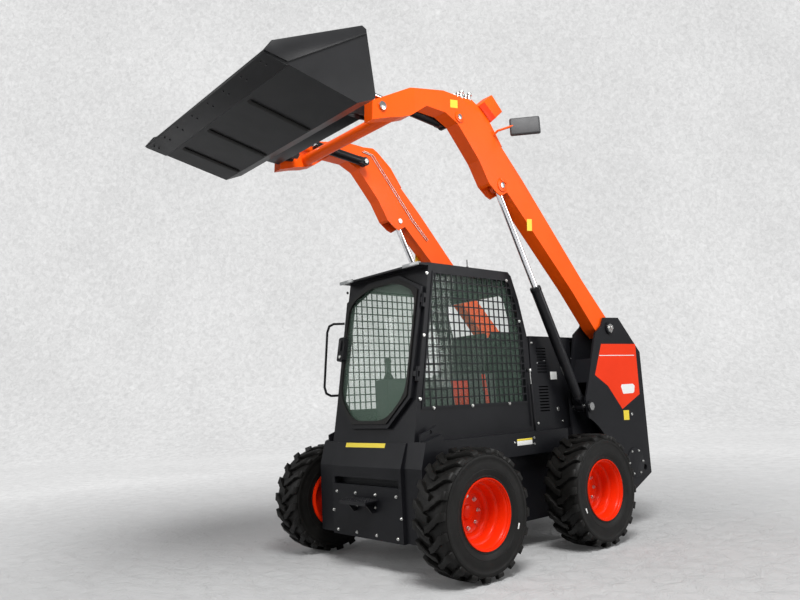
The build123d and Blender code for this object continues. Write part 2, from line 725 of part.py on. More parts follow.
# auxiliary valve box on the left arm's back
back_a, back_b = boom_upper[4], boom_upper[5]
with BuildPart() as valve_box:
    with BuildSketch(side_plane(arm_mid_x - 45)):
        Polygon(along(back_a, back_b, 10, 0.5), along(back_a, back_b, 215, 0.5), along(back_a, back_b, 215, 175),
                along(back_a, back_b, 10, 175), align=None)
    extrude(amount=90)
save(valve_box, "valve_box")

# mirrors on stalks from the arms' backs
mirror_root = along(back_a, back_b, 300, -40)
with BuildPart() as mirrors:
    for side in (-1, 1):
        with BuildSketch(side_plane(side * arm_outer_x)):
            with Locations(mirror_root):
                Circle(10)
        extrude(amount=side * 60)
        with Locations(Location((side * (arm_outer_x + 110), mirror_root[0], mirror_root[1]), (28, 0, 0))):
            Box(120, 40, 190)
save(mirrors, "mirrors")

# ---------------------------------------------------------------- lift cylinders
lift_barrel_length = 1075.0
lift_barrel_radius = 42.0
lift_rod_radius = 24.0
lift_length = length(lift_base, lift_eye)
lift_closed = 1157.0
eye_width = 72.0
with BuildPart() as lift_barrels:
    for side in (-1, 1):
        plane = line_plane(lift_base, lift_eye, side * arm_mid_x)
        with BuildSketch(plane.offset(60)):
            Circle(lift_barrel_radius)
        extrude(amount=lift_barrel_length - 60)
        with BuildSketch(side_plane(side * arm_mid_x - eye_width / 2)):
            with Locations(lift_base):
                Circle(44)
            Polygon(along(lift_base, lift_eye, 0, 36), along(lift_base, lift_eye, 80, 36),
                    along(lift_base, lift_eye, 80, -36), along(lift_base, lift_eye, 0, -36), align=None)
        extrude(amount=eye_width)
        with BuildSketch(plane.offset(90)):
            Circle(lift_rod_radius + pin_gap)
        extrude(amount=lift_barrel_length, mode=Mode.SUBTRACT)
        with BuildSketch(side_plane(side * arm_mid_x - eye_width)):
            with Locations(lift_base):
                Circle(base_pin_radius + pin_gap)
        extrude(amount=2 * eye_width, mode=Mode.SUBTRACT)
save(lift_barrels, "lift_barrels")

rod_length = lift_length - lift_barrel_length + 110
with BuildPart() as lift_rods:
    for side in (-1, 1):
        plane = line_plane(lift_eye, lift_base, side * arm_mid_x)
        with BuildSketch(plane.offset(20)):
            Circle(lift_rod_radius)
        extrude(amount=rod_length - 20)
        with BuildSketch(side_plane(side * arm_mid_x - eye_width / 2)):
            with Locations(lift_eye):
                Circle(40)
                Circle(lift_pin_radius + pin_gap, mode=Mode.SUBTRACT)
        extrude(amount=eye_width)
        with BuildSketch(side_plane(side * arm_mid_x - eye_width)):
            with Locations(lift_eye):
                Circle(lift_pin_radius + pin_gap)
        extrude(amount=2 * eye_width, mode=Mode.SUBTRACT)
save(lift_rods, "lift_rods")

# ---------------------------------------------------------------- tilt cylinders
tilt_barrel_length = 505.0
tilt_barrel_radius = 37.0
tilt_rod_radius = 20.0
tilt_length = length(tilt_base, tilt_eye)
with BuildPart() as tilt_barrels:
    for side in (-1, 1):
        plane = line_plane(tilt_base, tilt_eye, side * tilt_x)
        with BuildSketch(plane.offset(50)):
            Circle(tilt_barrel_radius)
        extrude(amount=tilt_barrel_length - 50)
        with BuildSketch(side_plane(side * tilt_x - tilt_eye_width / 2)):
            with Locations(tilt_base):
                Circle(38)
            Polygon(along(tilt_base, tilt_eye, 0, 30), along(tilt_base, tilt_eye, 66, 30),
                    along(tilt_base, tilt_eye, 66, -30), along(tilt_base, tilt_eye, 0, -30), align=None)
        extrude(amount=tilt_eye_width)
        with BuildSketch(plane.offset(75)):
            Circle(tilt_rod_radius + pin_gap)
        extrude(amount=tilt_barrel_length, mode=Mode.SUBTRACT)
        with BuildSketch(side_plane(side * tilt_x - tilt_eye_width)):
            with Locations(tilt_base):
                Circle(tilt_pin_radius + pin_gap)
        extrude(amount=2 * tilt_eye_width, mode=Mode.SUBTRACT)
save(tilt_barrels, "tilt_barrels")

tilt_rod_length = tilt_length - tilt_barrel_length + 150
with BuildPart() as tilt_rods:
    for side in (-1, 1):
        plane = line_plane(tilt_eye, tilt_base, side * tilt_x)
        with BuildSketch(plane.offset(20)):
            Circle(tilt_rod_radius)
        extrude(amount=tilt_rod_length - 20)
        with BuildSketch(side_plane(side * tilt_x - tilt_eye_width / 2)):
            with Locations(tilt_eye):
                Circle(34)
                Circle(tilt_pin_radius + pin_gap, mode=Mode.SUBTRACT)
        extrude(amount=tilt_eye_width)
        with BuildSketch(side_plane(side * tilt_x - tilt_eye_width)):
            with Locations(tilt_eye):
                Circle(tilt_pin_radius + pin_gap)
        extrude(amount=2 * tilt_eye_width, mode=Mode.SUBTRACT)
save(tilt_rods, "tilt_rods")

# ---------------------------------------------------------------- bucket and its coupler
bucket_half = 868.0
sheet = 14.0
bucket_lip = (-1936.0, 3100.0)
bucket_heel = (-1285.0, 2956.0)
bucket_back_low = (-1152.0, 3015.0)
bucket_back_top = (-1190.0, 3462.0)
bucket_side = (bucket_lip, bucket_heel, bucket_back_low, (-1140, 3045), bucket_back_top, (-1226, 3485),
               (-1877, 3180))
with BuildPart() as bucket:
    with BuildSketch(side_plane(-bucket_half)):
        Polygon(*bucket_side, align=None)
    extrude(amount=2 * bucket_half)
    with BuildSketch(side_plane(-bucket_half + sheet)):
        Polygon((-1990, 3112 + sheet), (-1288, 2956 + sheet + 2), (-1163, 3020 + 8), (-1154, 3048),
                (-1204, 3462), (-1226, 3560), (-2100, 3400), align=None)
    extrude(amount=2 * (bucket_half - sheet), mode=Mode.SUBTRACT)
save(bucket, "bucket")

# quick coupler: a back plate hooked on the bucket, with ears for the arm and tilt pins
coupler_half = arm_inner_x - 16.0
back_foot = bucket_side[3]
coupler_gap = 0.3
with BuildPart() as bucket_coupler:
    with BuildSketch(side_plane(-coupler_half)):
        Polygon(along(back_foot, bucket_back_top, 8, -coupler_gap),
                along(back_foot, bucket_back_top, 8, -20 - coupler_gap),
                along(back_foot, bucket_back_top, 390, -20 - coupler_gap),
                along(back_foot, bucket_back_top, 390, -coupler_gap), align=None)
    extrude(amount=2 * coupler_half)
    for side in (-1, 1):
        for ear_x in (tilt_x - tilt_eye_width / 2 - 18, tilt_x + tilt_eye_width / 2 + 4):
            with BuildSketch(side_plane(side * ear_x)):
                Polygon(along(back_foot, bucket_back_top, 10, -10), along(back_foot, bucket_back_top, 320, -10),
                        (tilt_eye[0] - 10, tilt_eye[1] + 30), (tilt_eye[0] + 35, tilt_eye[1] - 15),
                        (bucket_pin[0] + 40, bucket_pin[1] + 2), (bucket_pin[0] + 20, bucket_pin[1] - 33),
                        (bucket_pin[0] - 20, bucket_pin[1] - 36), align=None)
            extrude(amount=side * 14)
        with BuildSketch(side_plane(side * (tilt_x - tilt_eye_width / 2 - 18))):
            with Locations(bucket_pin):
                Circle(bucket_pin_radius)
        extrude(amount=side * (arm_outer_x - 20 - tilt_x + tilt_eye_width / 2 + 18))
save(bucket_coupler, "bucket_coupler")
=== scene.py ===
"""Skid steer loader with its arms raised, dressed around its frame.

Metres. The machine faces -Y, its left side is +X, up is +Z, and it stands on z = 0.
"""
from math import atan2, cos, pi, radians, sin

import bpy
from mathutils import Matrix, Vector


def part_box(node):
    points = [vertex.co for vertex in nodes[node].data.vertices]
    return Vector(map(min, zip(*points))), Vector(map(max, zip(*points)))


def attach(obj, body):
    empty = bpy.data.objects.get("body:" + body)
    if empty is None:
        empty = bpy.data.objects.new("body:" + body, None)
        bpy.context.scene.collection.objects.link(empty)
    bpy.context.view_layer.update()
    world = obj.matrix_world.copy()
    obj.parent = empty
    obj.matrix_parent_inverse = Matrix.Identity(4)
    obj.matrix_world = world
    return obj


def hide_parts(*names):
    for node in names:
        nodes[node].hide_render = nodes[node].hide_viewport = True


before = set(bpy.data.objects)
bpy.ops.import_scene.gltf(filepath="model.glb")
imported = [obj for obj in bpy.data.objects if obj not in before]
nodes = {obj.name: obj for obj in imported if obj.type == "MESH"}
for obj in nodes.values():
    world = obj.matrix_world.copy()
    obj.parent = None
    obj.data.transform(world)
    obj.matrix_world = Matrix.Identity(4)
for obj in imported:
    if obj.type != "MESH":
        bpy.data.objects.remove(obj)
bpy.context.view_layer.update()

# ---------------------------------------------------------------- studio
# A pale plaster floor that curves up into a backdrop, lit by three large soft lamps and a pale sky.
# The camera stands low beside the left front wheel and looks up a little. Far from the machine the
# plaster carries painted light, a glow of its own that the camera alone sees, and close to the
# machine its colour is darkened as painted shade.
BACKDROP = (0.90, 0.90, 0.90)
DULL_BACKDROP = tuple(c * 0.93 for c in BACKDROP)
# painted shade: the share of the plaster's colour that is left close to the machine
PAINTED_FLOOR_SHADE = 0.56
GLOW_FLOOR, GLOW_WALL = 0.03, 0.85
NEAR_REACH, FAR_REACH = 2.6, 8.5
FLOOR_FRONT, FLOOR_BACK, FLOOR_HALF = -11.0, 13.0, 24.0
SWEEP_RADIUS = 5.0
SWEEP_STEPS = 24
WALL_TOP = 18.0
SKY_COLOUR = (0.97, 0.98, 1.0)
SKY_STRENGTH = 0.34
CAMERA_PLACE = (4.063, -3.792, 1.130)
CAMERA_TURN, CAMERA_RISE, CAMERA_ROLL = radians(49.10), radians(8.385), radians(-2.90)
CAMERA_LENS = 31.52
CAMERA_SENSOR = 36.0
CAMERA_FAR = 200


def drop_selection():
    """Leave edit mode and select nothing."""
    if bpy.context.mode != "OBJECT":
        bpy.ops.object.mode_set(mode="OBJECT")
    bpy.ops.object.select_all(action="DESELECT")


def take(*chosen):
    """Select these objects alone, with the first one active."""
    drop_selection()
    for item in chosen:
        item.select_set(True)
    bpy.context.view_layer.objects.active = chosen[0]
    return chosen[0]


def set_up(node, **values):
    """Set a node's sockets, named with underscores for spaces."""
    for name, value in values.items():
        node.inputs[name.replace("_", " ")].default_value = value


def new_material(name):
    """A new material, with its nodes and the shader that it starts with."""
    material = bpy.data.materials.new(name)
    material.use_nodes = True
    tree = material.node_tree
    return material, tree, tree.nodes["Principled BSDF"]


def noise(tree, place, scale, detail, **values):
    """A noise pattern on the piece's own coordinates."""
    pattern = tree.nodes.new("ShaderNodeTexNoise")
    set_up(pattern, Scale=scale, Detail=detail, **values)
    tree.links.new(place.outputs["Object"], pattern.inputs["Vector"])
    return pattern.outputs["Fac"]


def two_tones(tree, pattern, low, low_colour, high, high_colour):
    """A colour that goes from one tone to another as the pattern rises from low to high."""
    tone = tree.nodes.new("ShaderNodeValToRGB")
    ends = zip(tone.color_ramp.elements, (low, high), (low_colour, high_colour))
    for element, position, colour in ends:
        element.position = position
        element.color = (*colour, 1)
    tree.links.new(pattern, tone.inputs["Fac"])
    return tone.outputs["Color"]


def stretch(tree, value, to_low, to_high, from_low=0.0, from_high=1.0):
    """Carry a value's range over to another range."""
    spread = tree.nodes.new("ShaderNodeMapRange")
    set_up(spread, From_Min=from_low, From_Max=from_high, To_Min=to_low, To_Max=to_high)
    tree.links.new(value, spread.inputs["Value"])
    return spread.outputs["Result"]


def roughen(tree, shader, pattern, strength, distance):
    """Let a pattern raise and lower the surface a little."""
    bump = tree.nodes.new("ShaderNodeBump")
    set_up(bump, Strength=strength, Distance=distance)
    tree.links.new(pattern, bump.inputs["Height"])
    tree.links.new(bump.outputs["Normal"], shader.inputs["Normal"])


def plaster():
    """Rough trowelled plaster, which the camera alone sees with some light of its own."""
    material, tree, shader = new_material("backdrop_plaster")
    add, link = tree.nodes.new, tree.links.new
    set_up(shader, Roughness=0.95, Specular_IOR_Level=0.05)
    place = add("ShaderNodeTexCoord")
    trowel = noise(tree, place, scale=7.0, detail=10.0, Roughness=0.68, Distortion=0.8)
    roughen(tree, shader, trowel, strength=0.9, distance=0.035)
    patches = noise(tree, place, scale=0.28, detail=3.0)
    tone = two_tones(tree, patches, 0.35, DULL_BACKDROP, 0.68, BACKDROP)
    glow = add("ShaderNodeEmission")
    link(tone, glow.inputs["Color"])
    # painted light and shade: the glow's strength follows the same trowel pattern as the bump, so the
    # relief shows as lighter and darker plaster
    strength = stretch(tree, trowel, 0.80, 1.10, from_low=0.30, from_high=0.70)
    link(strength, glow.inputs["Strength"])
    reach = add("ShaderNodeVectorMath")
    reach.operation = "LENGTH"
    link(place.outputs["Object"], reach.inputs[0])
    distance = reach.outputs["Value"]
    # painted light far from the machine and painted shade close to it, both set by distance from the
    # machine
    glow_share = stretch(tree, distance, GLOW_FLOOR, GLOW_WALL, NEAR_REACH, FAR_REACH)
    painted_shade_near = stretch(tree, distance, PAINTED_FLOOR_SHADE, 1.0, NEAR_REACH, FAR_REACH)
    dim = add("ShaderNodeVectorMath")
    dim.operation = "SCALE"
    link(tone, dim.inputs[0])
    link(painted_shade_near, dim.inputs["Scale"])
    link(dim.outputs["Vector"], shader.inputs["Base Color"])
    ray = add("ShaderNodeLightPath")
    share = add("ShaderNodeMath")
    share.operation = "MULTIPLY"
    link(glow_share, share.inputs[0])
    link(ray.outputs["Is Camera Ray"], share.inputs[1])
    mix = add("ShaderNodeMixShader")
    link(share.outputs["Value"], mix.inputs["Fac"])
    link(shader.outputs["BSDF"], mix.inputs[1])
    link(glow.outputs["Emission"], mix.inputs[2])
    link(mix.outputs["Shader"], tree.nodes["Material Output"].inputs["Surface"])
    return material


def pull_out(x, y, z):
    """Extrude what is selected by this much."""
    bpy.ops.mesh.extrude_region_move(TRANSFORM_OT_translate={"value": (x, y, z)})


drop_selection()
bpy.ops.mesh.primitive_plane_add(size=1, location=(0, (FLOOR_FRONT + FLOOR_BACK) / 2, 0))
floor = bpy.context.object
floor.name = "floor"
floor.scale = (2 * FLOOR_HALF, FLOOR_BACK - FLOOR_FRONT, 1)
floor.rotation_euler = (0, 0, CAMERA_TURN)
bpy.ops.object.transform_apply(location=False, rotation=False, scale=True)
bpy.ops.object.mode_set(mode="EDIT")
bpy.ops.mesh.select_mode(type="EDGE")
bpy.ops.mesh.select_all(action="DESELECT")
bpy.ops.object.mode_set(mode="OBJECT")
for edge in floor.data.edges:
    edge.select = all(floor.data.vertices[i].co.y > 0 for i in edge.vertices)
bpy.ops.object.mode_set(mode="EDIT")
for step in range(1, SWEEP_STEPS + 1):
    before, after = (radians(90 * k / SWEEP_STEPS) for k in (step - 1, step))
    climb = SWEEP_RADIUS * (cos(before) - cos(after))
    run = SWEEP_RADIUS * (sin(after) - sin(before))
    pull_out(-run * sin(CAMERA_TURN), run * cos(CAMERA_TURN), climb)
pull_out(0, 0, WALL_TOP)
bpy.ops.object.mode_set(mode="OBJECT")
bpy.ops.object.transform_apply(location=True, rotation=True, scale=True)
bpy.ops.object.shade_smooth()
floor.data.materials.append(plaster())


def soft_lamp(name, place, aim, size, power):
    """A large soft lamp that faces the point aim."""
    drop_selection()
    bpy.ops.object.light_add(type="AREA", location=place)
    lamp = bpy.context.object
    lamp.name = name
    lamp.data.shape = "RECTANGLE"
    lamp.data.size, lamp.data.size_y = size
    lamp.data.energy = power
    lamp.rotation_euler = (Vector(aim) - Vector(place)).to_track_quat("-Z", "Y").to_euler()


soft_lamp("key_lamp", place=(4.5, -3.0, 8.5), aim=(0, 0, 1.4), size=(3.4, 3.4), power=960)
soft_lamp("side_lamp", place=(7.0, 4.5, 3.6), aim=(0, 0.8, 1.5), size=(3.0, 4.5), power=240)
soft_lamp("front_lamp", place=(-4.5, -7.0, 4.0), aim=(0, 0, 1.4), size=(3.5, 3.5), power=160)

world = bpy.data.worlds.new("pale_sky")
bpy.context.scene.world = world
world.use_nodes = True
set_up(world.node_tree.nodes["Background"], Color=(*SKY_COLOUR, 1), Strength=SKY_STRENGTH)

look = Vector((-sin(CAMERA_TURN) * cos(CAMERA_RISE), cos(CAMERA_TURN) * cos(CAMERA_RISE),
               sin(CAMERA_RISE)))
level = Vector((cos(CAMERA_TURN), sin(CAMERA_TURN), 0))
above = level.cross(look)
across = cos(CAMERA_ROLL) * level + sin(CAMERA_ROLL) * above
upward = -sin(CAMERA_ROLL) * level + cos(CAMERA_ROLL) * above
drop_selection()
bpy.ops.object.camera_add()
camera = bpy.context.object
camera.matrix_world = Matrix((
    (across.x, upward.x, -look.x, CAMERA_PLACE[0]),
    (across.y, upward.y, -look.y, CAMERA_PLACE[1]),
    (across.z, upward.z, -look.z, CAMERA_PLACE[2]),
    (0, 0, 0, 1)))
camera.data.lens = CAMERA_LENS
camera.data.sensor_width = CAMERA_SENSOR
camera.data.clip_end = CAMERA_FAR
bpy.context.scene.camera = camera
bpy.context.scene.view_settings.view_transform = "Standard"

# ---------------------------------------------------------------- chassis
# The tub, sills, boom stops, front cover and axle tubes are welded steel plate with a satin black
# powder coat. The front step and the cover panel are bolted on with bright zinc-plated bolts, and
# the notices are thin blank films.
LEAST_ROUGH, MOST_ROUGH = 0.02, 1.0
SMOOTHER, ROUGHER = 0.07, 0.08
PALEST_RISE = 0.002
PEEL_STRENGTH = 0.6
CLEAR_COAT_ROUGH = 0.12


def paint(name, colour, rough, vary=0.12, metallic=0.0, coat=0.0, grain=900.0, depth=0.00012,
          patch=2.5, shine=0.5):
    """A sprayed or powder-coated finish: patchy tone and gloss, and a fine orange-peel bump."""
    material, tree, shader = new_material(name)
    place = tree.nodes.new("ShaderNodeTexCoord")
    cloud = noise(tree, place, scale=patch, detail=6.0, Roughness=0.62)
    dark = tuple(c * (1 - vary) for c in colour)
    light = tuple(min(1, c * (1 + vary) + PALEST_RISE) for c in colour)
    tree.links.new(two_tones(tree, cloud, 0.3, dark, 0.72, light), shader.inputs["Base Color"])
    smear = noise(tree, place, scale=patch * 5, detail=4.0)
    gloss = stretch(tree, smear, max(LEAST_ROUGH, rough - SMOOTHER), min(MOST_ROUGH, rough + ROUGHER))
    tree.links.new(gloss, shader.inputs["Roughness"])
    peel = noise(tree, place, scale=grain, detail=2.0)
    roughen(tree, shader, peel, PEEL_STRENGTH, depth)
    set_up(shader, Metallic=metallic, Specular_IOR_Level=shine, Coat_Weight=coat,
           Coat_Roughness=CLEAR_COAT_ROUGH)
    return material


BODY_BLACK = paint("satin_black_powder_coat", (0.0072, 0.0074, 0.0090), 0.40, vary=0.14, grain=650,
                   depth=0.0002, shine=0.16)
PLATE_BLACK = paint("gloss_black_paint", (0.0075, 0.0076, 0.0090), 0.30, vary=0.16, shine=0.22)
ZINC = paint("zinc_plated_steel", (0.62, 0.62, 0.60), 0.28, vary=0.08, metallic=1.0, grain=300)
YELLOW_FILM = paint("yellow_film", (0.72, 0.56, 0.03), 0.38, vary=0.05, grain=200, depth=0.00005)
WHITE_FILM = paint("white_film", (0.72, 0.72, 0.70), 0.38, vary=0.04, grain=200, depth=0.00005)


def coat_nodes(material, *names):
    """Give nodes of the frame their finish."""
    for name in names:
        holder = nodes[name]
        if not holder.data.materials:
            holder.data.materials.append(material)
        for slot in holder.material_slots:
            slot.material = material


coat_nodes(BODY_BLACK, "chassis_tub", "side_sills", "front_cover", "boom_stops", "axle_tubes")
coat_nodes(PLATE_BLACK, "front_step")

BEVEL_FROM = radians(35)
SMOOTH_BELOW = 40
HEXAGON = 6
BOLT_SPIN = 0.4


def modify(piece, kind, **settings):
    """Add a modifier with these settings and apply it."""
    take(piece)
    modifier = piece.modifiers.new(kind.title(), kind)
    for name, value in settings.items():
        setattr(modifier, name, value)
    bpy.ops.object.modifier_apply(modifier=modifier.name)
    return piece


def settle(piece):
    """Put a piece's place into its mesh."""
    take(piece)
    bpy.ops.object.transform_apply(location=True, rotation=True, scale=True)
    return piece


def smooth(piece, degrees=SMOOTH_BELOW):
    """Shade a piece smooth, apart from edges sharper than this."""
    take(piece)
    bpy.ops.object.shade_smooth_by_angle(angle=radians(degrees))
    return piece


def soften(piece, width, segments=2):
    """Round a piece's sharp edges, if a width is given, and shade it smooth."""
    if width:
        modify(piece, "BEVEL", width=width, segments=segments, limit_method="ANGLE",
               angle_limit=BEVEL_FROM)
    return smooth(piece)


def open_mesh(piece):
    """Go into a piece's mesh with all of it selected."""
    take(piece)
    bpy.ops.object.mode_set(mode="EDIT")
    bpy.ops.mesh.select_all(action="SELECT")


def turn_outwards(piece):
    """Point a closed mesh's faces outwards."""
    open_mesh(piece)
    bpy.ops.mesh.normals_make_consistent(inside=False)
    bpy.ops.object.mode_set(mode="OBJECT")
    return piece


def block(name, low, high, edge=0.003):
    """A box between two corners, with rounded edges if edge isn't 0."""
    drop_selection()
    low, high = Vector(low), Vector(high)
    bpy.ops.mesh.primitive_cube_add(size=1, location=(low + high) / 2)
    piece = bpy.context.object
    piece.name = name
    piece.scale = high - low
    settle(piece)
    return soften(piece, edge) if edge else piece


def rod(name, start, end, radius, sides=24, edge=0.0):
    """A round bar from start to end."""
    drop_selection()
    start, end = Vector(start), Vector(end)
    bpy.ops.mesh.primitive_cylinder_add(vertices=sides, radius=radius, depth=(end - start).length,
                                        location=(start + end) / 2)
    piece = bpy.context.object
    piece.name = name
    piece.rotation_euler = (end - start).to_track_quat("Z", "Y").to_euler()
    return soften(settle(piece), edge)


def plate(name, outline, x0, x1, edge=0.002):
    """A flat plate drawn from the side as (y, z) points, thick from x0 to x1."""
    drop_selection()
    bpy.ops.mesh.primitive_circle_add(vertices=len(outline), radius=1, fill_type="NGON")
    piece = bpy.context.object
    piece.name = name
    for vertex, (y, z) in zip(piece.data.vertices, outline):
        vertex.co = (x0, y, z)
    open_mesh(piece)
    pull_out(x1 - x0, 0, 0)
    return soften(turn_outwards(piece), edge)


def join(name, *parts):
    """Make one piece of several."""
    take(*parts)
    if len(parts) > 1:
        bpy.ops.object.join()
    piece = bpy.context.object
    piece.name = name
    return piece


def duplicate(source, matrix):
    """A copy of a piece with its own mesh, placed by a matrix."""
    copy = source.copy()
    copy.data = source.data.copy()
    bpy.context.collection.objects.link(copy)
    copy.matrix_world = matrix
    return copy


def copies(name, source, matrices):
    """Join copies of a piece, one for each matrix, and remove the piece itself."""
    made = [duplicate(source, matrix) for matrix in matrices]
    bpy.data.objects.remove(source)
    take(*made)
    bpy.ops.object.transform_apply(location=True, rotation=True, scale=True)
    return join(name, *made)


def fit(piece, body, material):
    """Finish a piece: its material and the body it rides on."""
    piece.data.materials.clear()
    piece.data.materials.append(material)
    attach(piece, body)
    return piece


def bolts(name, body, size, spots, material=ZINC):
    """Hexagon flange bolts at (place, outward direction) spots; size is the head's radius."""
    drop_selection()
    bpy.ops.mesh.primitive_cylinder_add(vertices=HEXAGON, radius=size, depth=size,
                                        location=(0, 0, size * 0.6))
    head = soften(settle(bpy.context.object), size * 0.12, segments=1)
    bpy.ops.mesh.primitive_cylinder_add(vertices=16, radius=size * 1.35, depth=size * 0.25,
                                        location=(0, 0, size * 0.08))
    flange = soften(settle(bpy.context.object), size * 0.08, segments=1)
    bolt = join("bolt", head, flange)
    matrices = [Matrix.Translation(place)
                @ Vector(normal).to_track_quat("Z", "Y").to_matrix().to_4x4()
                @ Matrix.Rotation(BOLT_SPIN * index, 4, "Z")
                for index, (place, normal) in enumerate(spots)]
    return fit(copies(name, bolt, matrices), body, material)


FORWARDS = (0, -1, 0)
COVER_LOW, COVER_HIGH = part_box("front_cover")
COVER_FACE_Y = COVER_LOW.y
COVER_BOLT = 0.0085
COVER_BOLT_X, COVER_BOLT_PITCH, COVER_COLUMNS = 0.340, 0.227, 4
COVER_ROWS = (0.510, 0.237)
COVER_END_BOLT = (0.387, 0.372)
spots = [((-COVER_BOLT_X + COVER_BOLT_PITCH * column, COVER_FACE_Y, z), FORWARDS)
         for column in range(COVER_COLUMNS) for z in COVER_ROWS]
spots += [((side * COVER_END_BOLT[0], COVER_FACE_Y, COVER_END_BOLT[1]), FORWARDS)
          for side in (-1, 1)]
bolts("cover_bolts", "chassis", COVER_BOLT, spots)

# a blank yellow notice strip along the top edge of the cover's leaning nose
NOSE_FOLD = Vector((0, COVER_LOW.y, 0.695))
NOSE_TOP = Vector((0, COVER_LOW.y + 0.061, COVER_HIGH.z - 0.006))
NOSE_NORMAL = Vector((0, -(NOSE_TOP.z - NOSE_FOLD.z), NOSE_TOP.y - NOSE_FOLD.y)).normalized()
STRIP_X = (-0.280, 0.180)
STRIP_SHARES = (0.80, 0.985)
STRIP_THICK = 0.0012
corners = [NOSE_FOLD.lerp(NOSE_TOP, share) for share in STRIP_SHARES]
outline = [(corner.y, corner.z) for corner in corners]
outline += [(y + NOSE_NORMAL.y * STRIP_THICK, z + NOSE_NORMAL.z * STRIP_THICK)
            for y, z in reversed(outline)]
fit(plate("notice_strip", outline, *STRIP_X, edge=0), "chassis", YELLOW_FILM)

# the step's tread: rows of teeth pressed up through the plate, and its two bracket bolts
STEP_LOW, STEP_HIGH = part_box("front_step")
TOOTH_FOOT, TOOTH_TIP, TOOTH_HIGH, TOOTH_EDGE = 0.0085, 0.004, 0.010, 0.0012
TOOTH_COLUMNS, TOOTH_ROWS = 12, 5
FIRST_TOOTH = (-0.135, STEP_LOW.y + 0.014, STEP_HIGH.z - 0.0065)
TOOTH_PITCH_X, TOOTH_PITCH_Y, TOOTH_CLIMB = 0.0245, 0.0230, 0.0011
STEP_BOLT, STEP_BOLT_X, STEP_BOLT_Z = 0.010, 0.106, 0.425
drop_selection()
bpy.ops.mesh.primitive_cone_add(vertices=4, radius1=TOOTH_FOOT, radius2=TOOTH_TIP, depth=TOOTH_HIGH,
                                location=(0, 0, TOOTH_HIGH / 2))
tooth = soften(settle(bpy.context.object), TOOTH_EDGE, segments=1)
square_on = Matrix.Rotation(radians(45), 4, "Z")
matrices = [Matrix.Translation((FIRST_TOOTH[0] + TOOTH_PITCH_X * column,
                                FIRST_TOOTH[1] + TOOTH_PITCH_Y * row,
                                FIRST_TOOTH[2] + TOOTH_CLIMB * row)) @ square_on
            for column in range(TOOTH_COLUMNS) for row in range(TOOTH_ROWS)]
fit(copies("step_teeth", tooth, matrices), "chassis", PLATE_BLACK)
bolts("step_bolts", "chassis", STEP_BOLT,
      [((side * STEP_BOLT_X, COVER_FACE_Y, STEP_BOLT_Z), FORWARDS) for side in (-1, 1)])

# a blank plate with a yellow band on the left sill, and its three bolts
SILL_X = COVER_HIGH.x
LABEL_Y, LABEL_Z, BAND_Z = (0.30, 0.475), (0.775, 0.822), 0.808
LABEL_THICK, BAND_FOOT, BAND_TOP = 0.0015, 0.0014, 0.0022
SILL_BOLT = 0.007
SILL_BOLTS = ((0.275, 0.80), (0.50, 0.82), (0.50, 0.775))
label = block("sill_label", (SILL_X, LABEL_Y[0], LABEL_Z[0]),
              (SILL_X + LABEL_THICK, LABEL_Y[1], LABEL_Z[1]), edge=0.0004)
fit(label, "chassis", WHITE_FILM)
band = block("sill_label_band", (SILL_X + BAND_FOOT, LABEL_Y[0], BAND_Z),
             (SILL_X + BAND_TOP, LABEL_Y[1], LABEL_Z[1]), edge=0.0002)
fit(band, "chassis", YELLOW_FILM)
bolts("sill_bolts", "chassis", SILL_BOLT, [((SILL_X, y, z), (1, 0, 0)) for y, z in SILL_BOLTS])

# ---------------------------------------------------------------- wheels
# Air tyres of moulded rubber with deep bar lugs, on welded steel rims painted red. Each wheel is
# held to its hub by eight zinc-plated nuts.
RUBBER = paint("moulded_rubber", (0.0052, 0.0048, 0.0042), 0.50, vary=0.35, grain=260, depth=0.0005,
               patch=9, shine=0.20)
RIM_RED = paint("red_gloss_paint", (0.74, 0.022, 0.001), 0.34, vary=0.08, coat=0.04, grain=500,
                depth=0.00008, shine=0.10)
TREAD_RADIUS = 0.4148
LUG_HEIGHT = 0.0255
CASING_RADIUS = TREAD_RADIUS - LUG_HEIGHT
TYRE_LOW, TYRE_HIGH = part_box("tyre_front_left")
HUB_X = (TYRE_LOW.x + TYRE_HIGH.x) / 2
HUB_Z = (TYRE_LOW.z + TYRE_HIGH.z) / 2
LUGS = 20
CASING_STEPS, RIM_STEPS = 120, 96
# half of the casing's section as (x, radius): crowned tread, shoulder, bulged sidewall with two
# moulded rings, and bead
CASING_HALF = (
    (0.0, CASING_RADIUS), (0.060, CASING_RADIUS - 0.0005), (0.108, CASING_RADIUS - 0.004),
    (0.126, 0.380), (0.1335, 0.3745), (0.1370, 0.3725), (0.1375, 0.3700), (0.1355, 0.3690),
    (0.1355, 0.3665), (0.1385, 0.3655), (0.1400, 0.3600), (0.1408, 0.3480), (0.1395, 0.3455),
    (0.1380, 0.3430), (0.1390, 0.3200), (0.1398, 0.3000), (0.1385, 0.2800), (0.1370, 0.2785),
    (0.1372, 0.2760), (0.1380, 0.2745), (0.1350, 0.2600), (0.1290, 0.2450), (0.1262, 0.2390),
    (0.1272, 0.2360), (0.1265, 0.2300), (0.1240, 0.2255), (0.1165, 0.2240))
CASING = CASING_HALF + tuple((-x, radius) for x, radius in reversed(CASING_HALF[1:]))
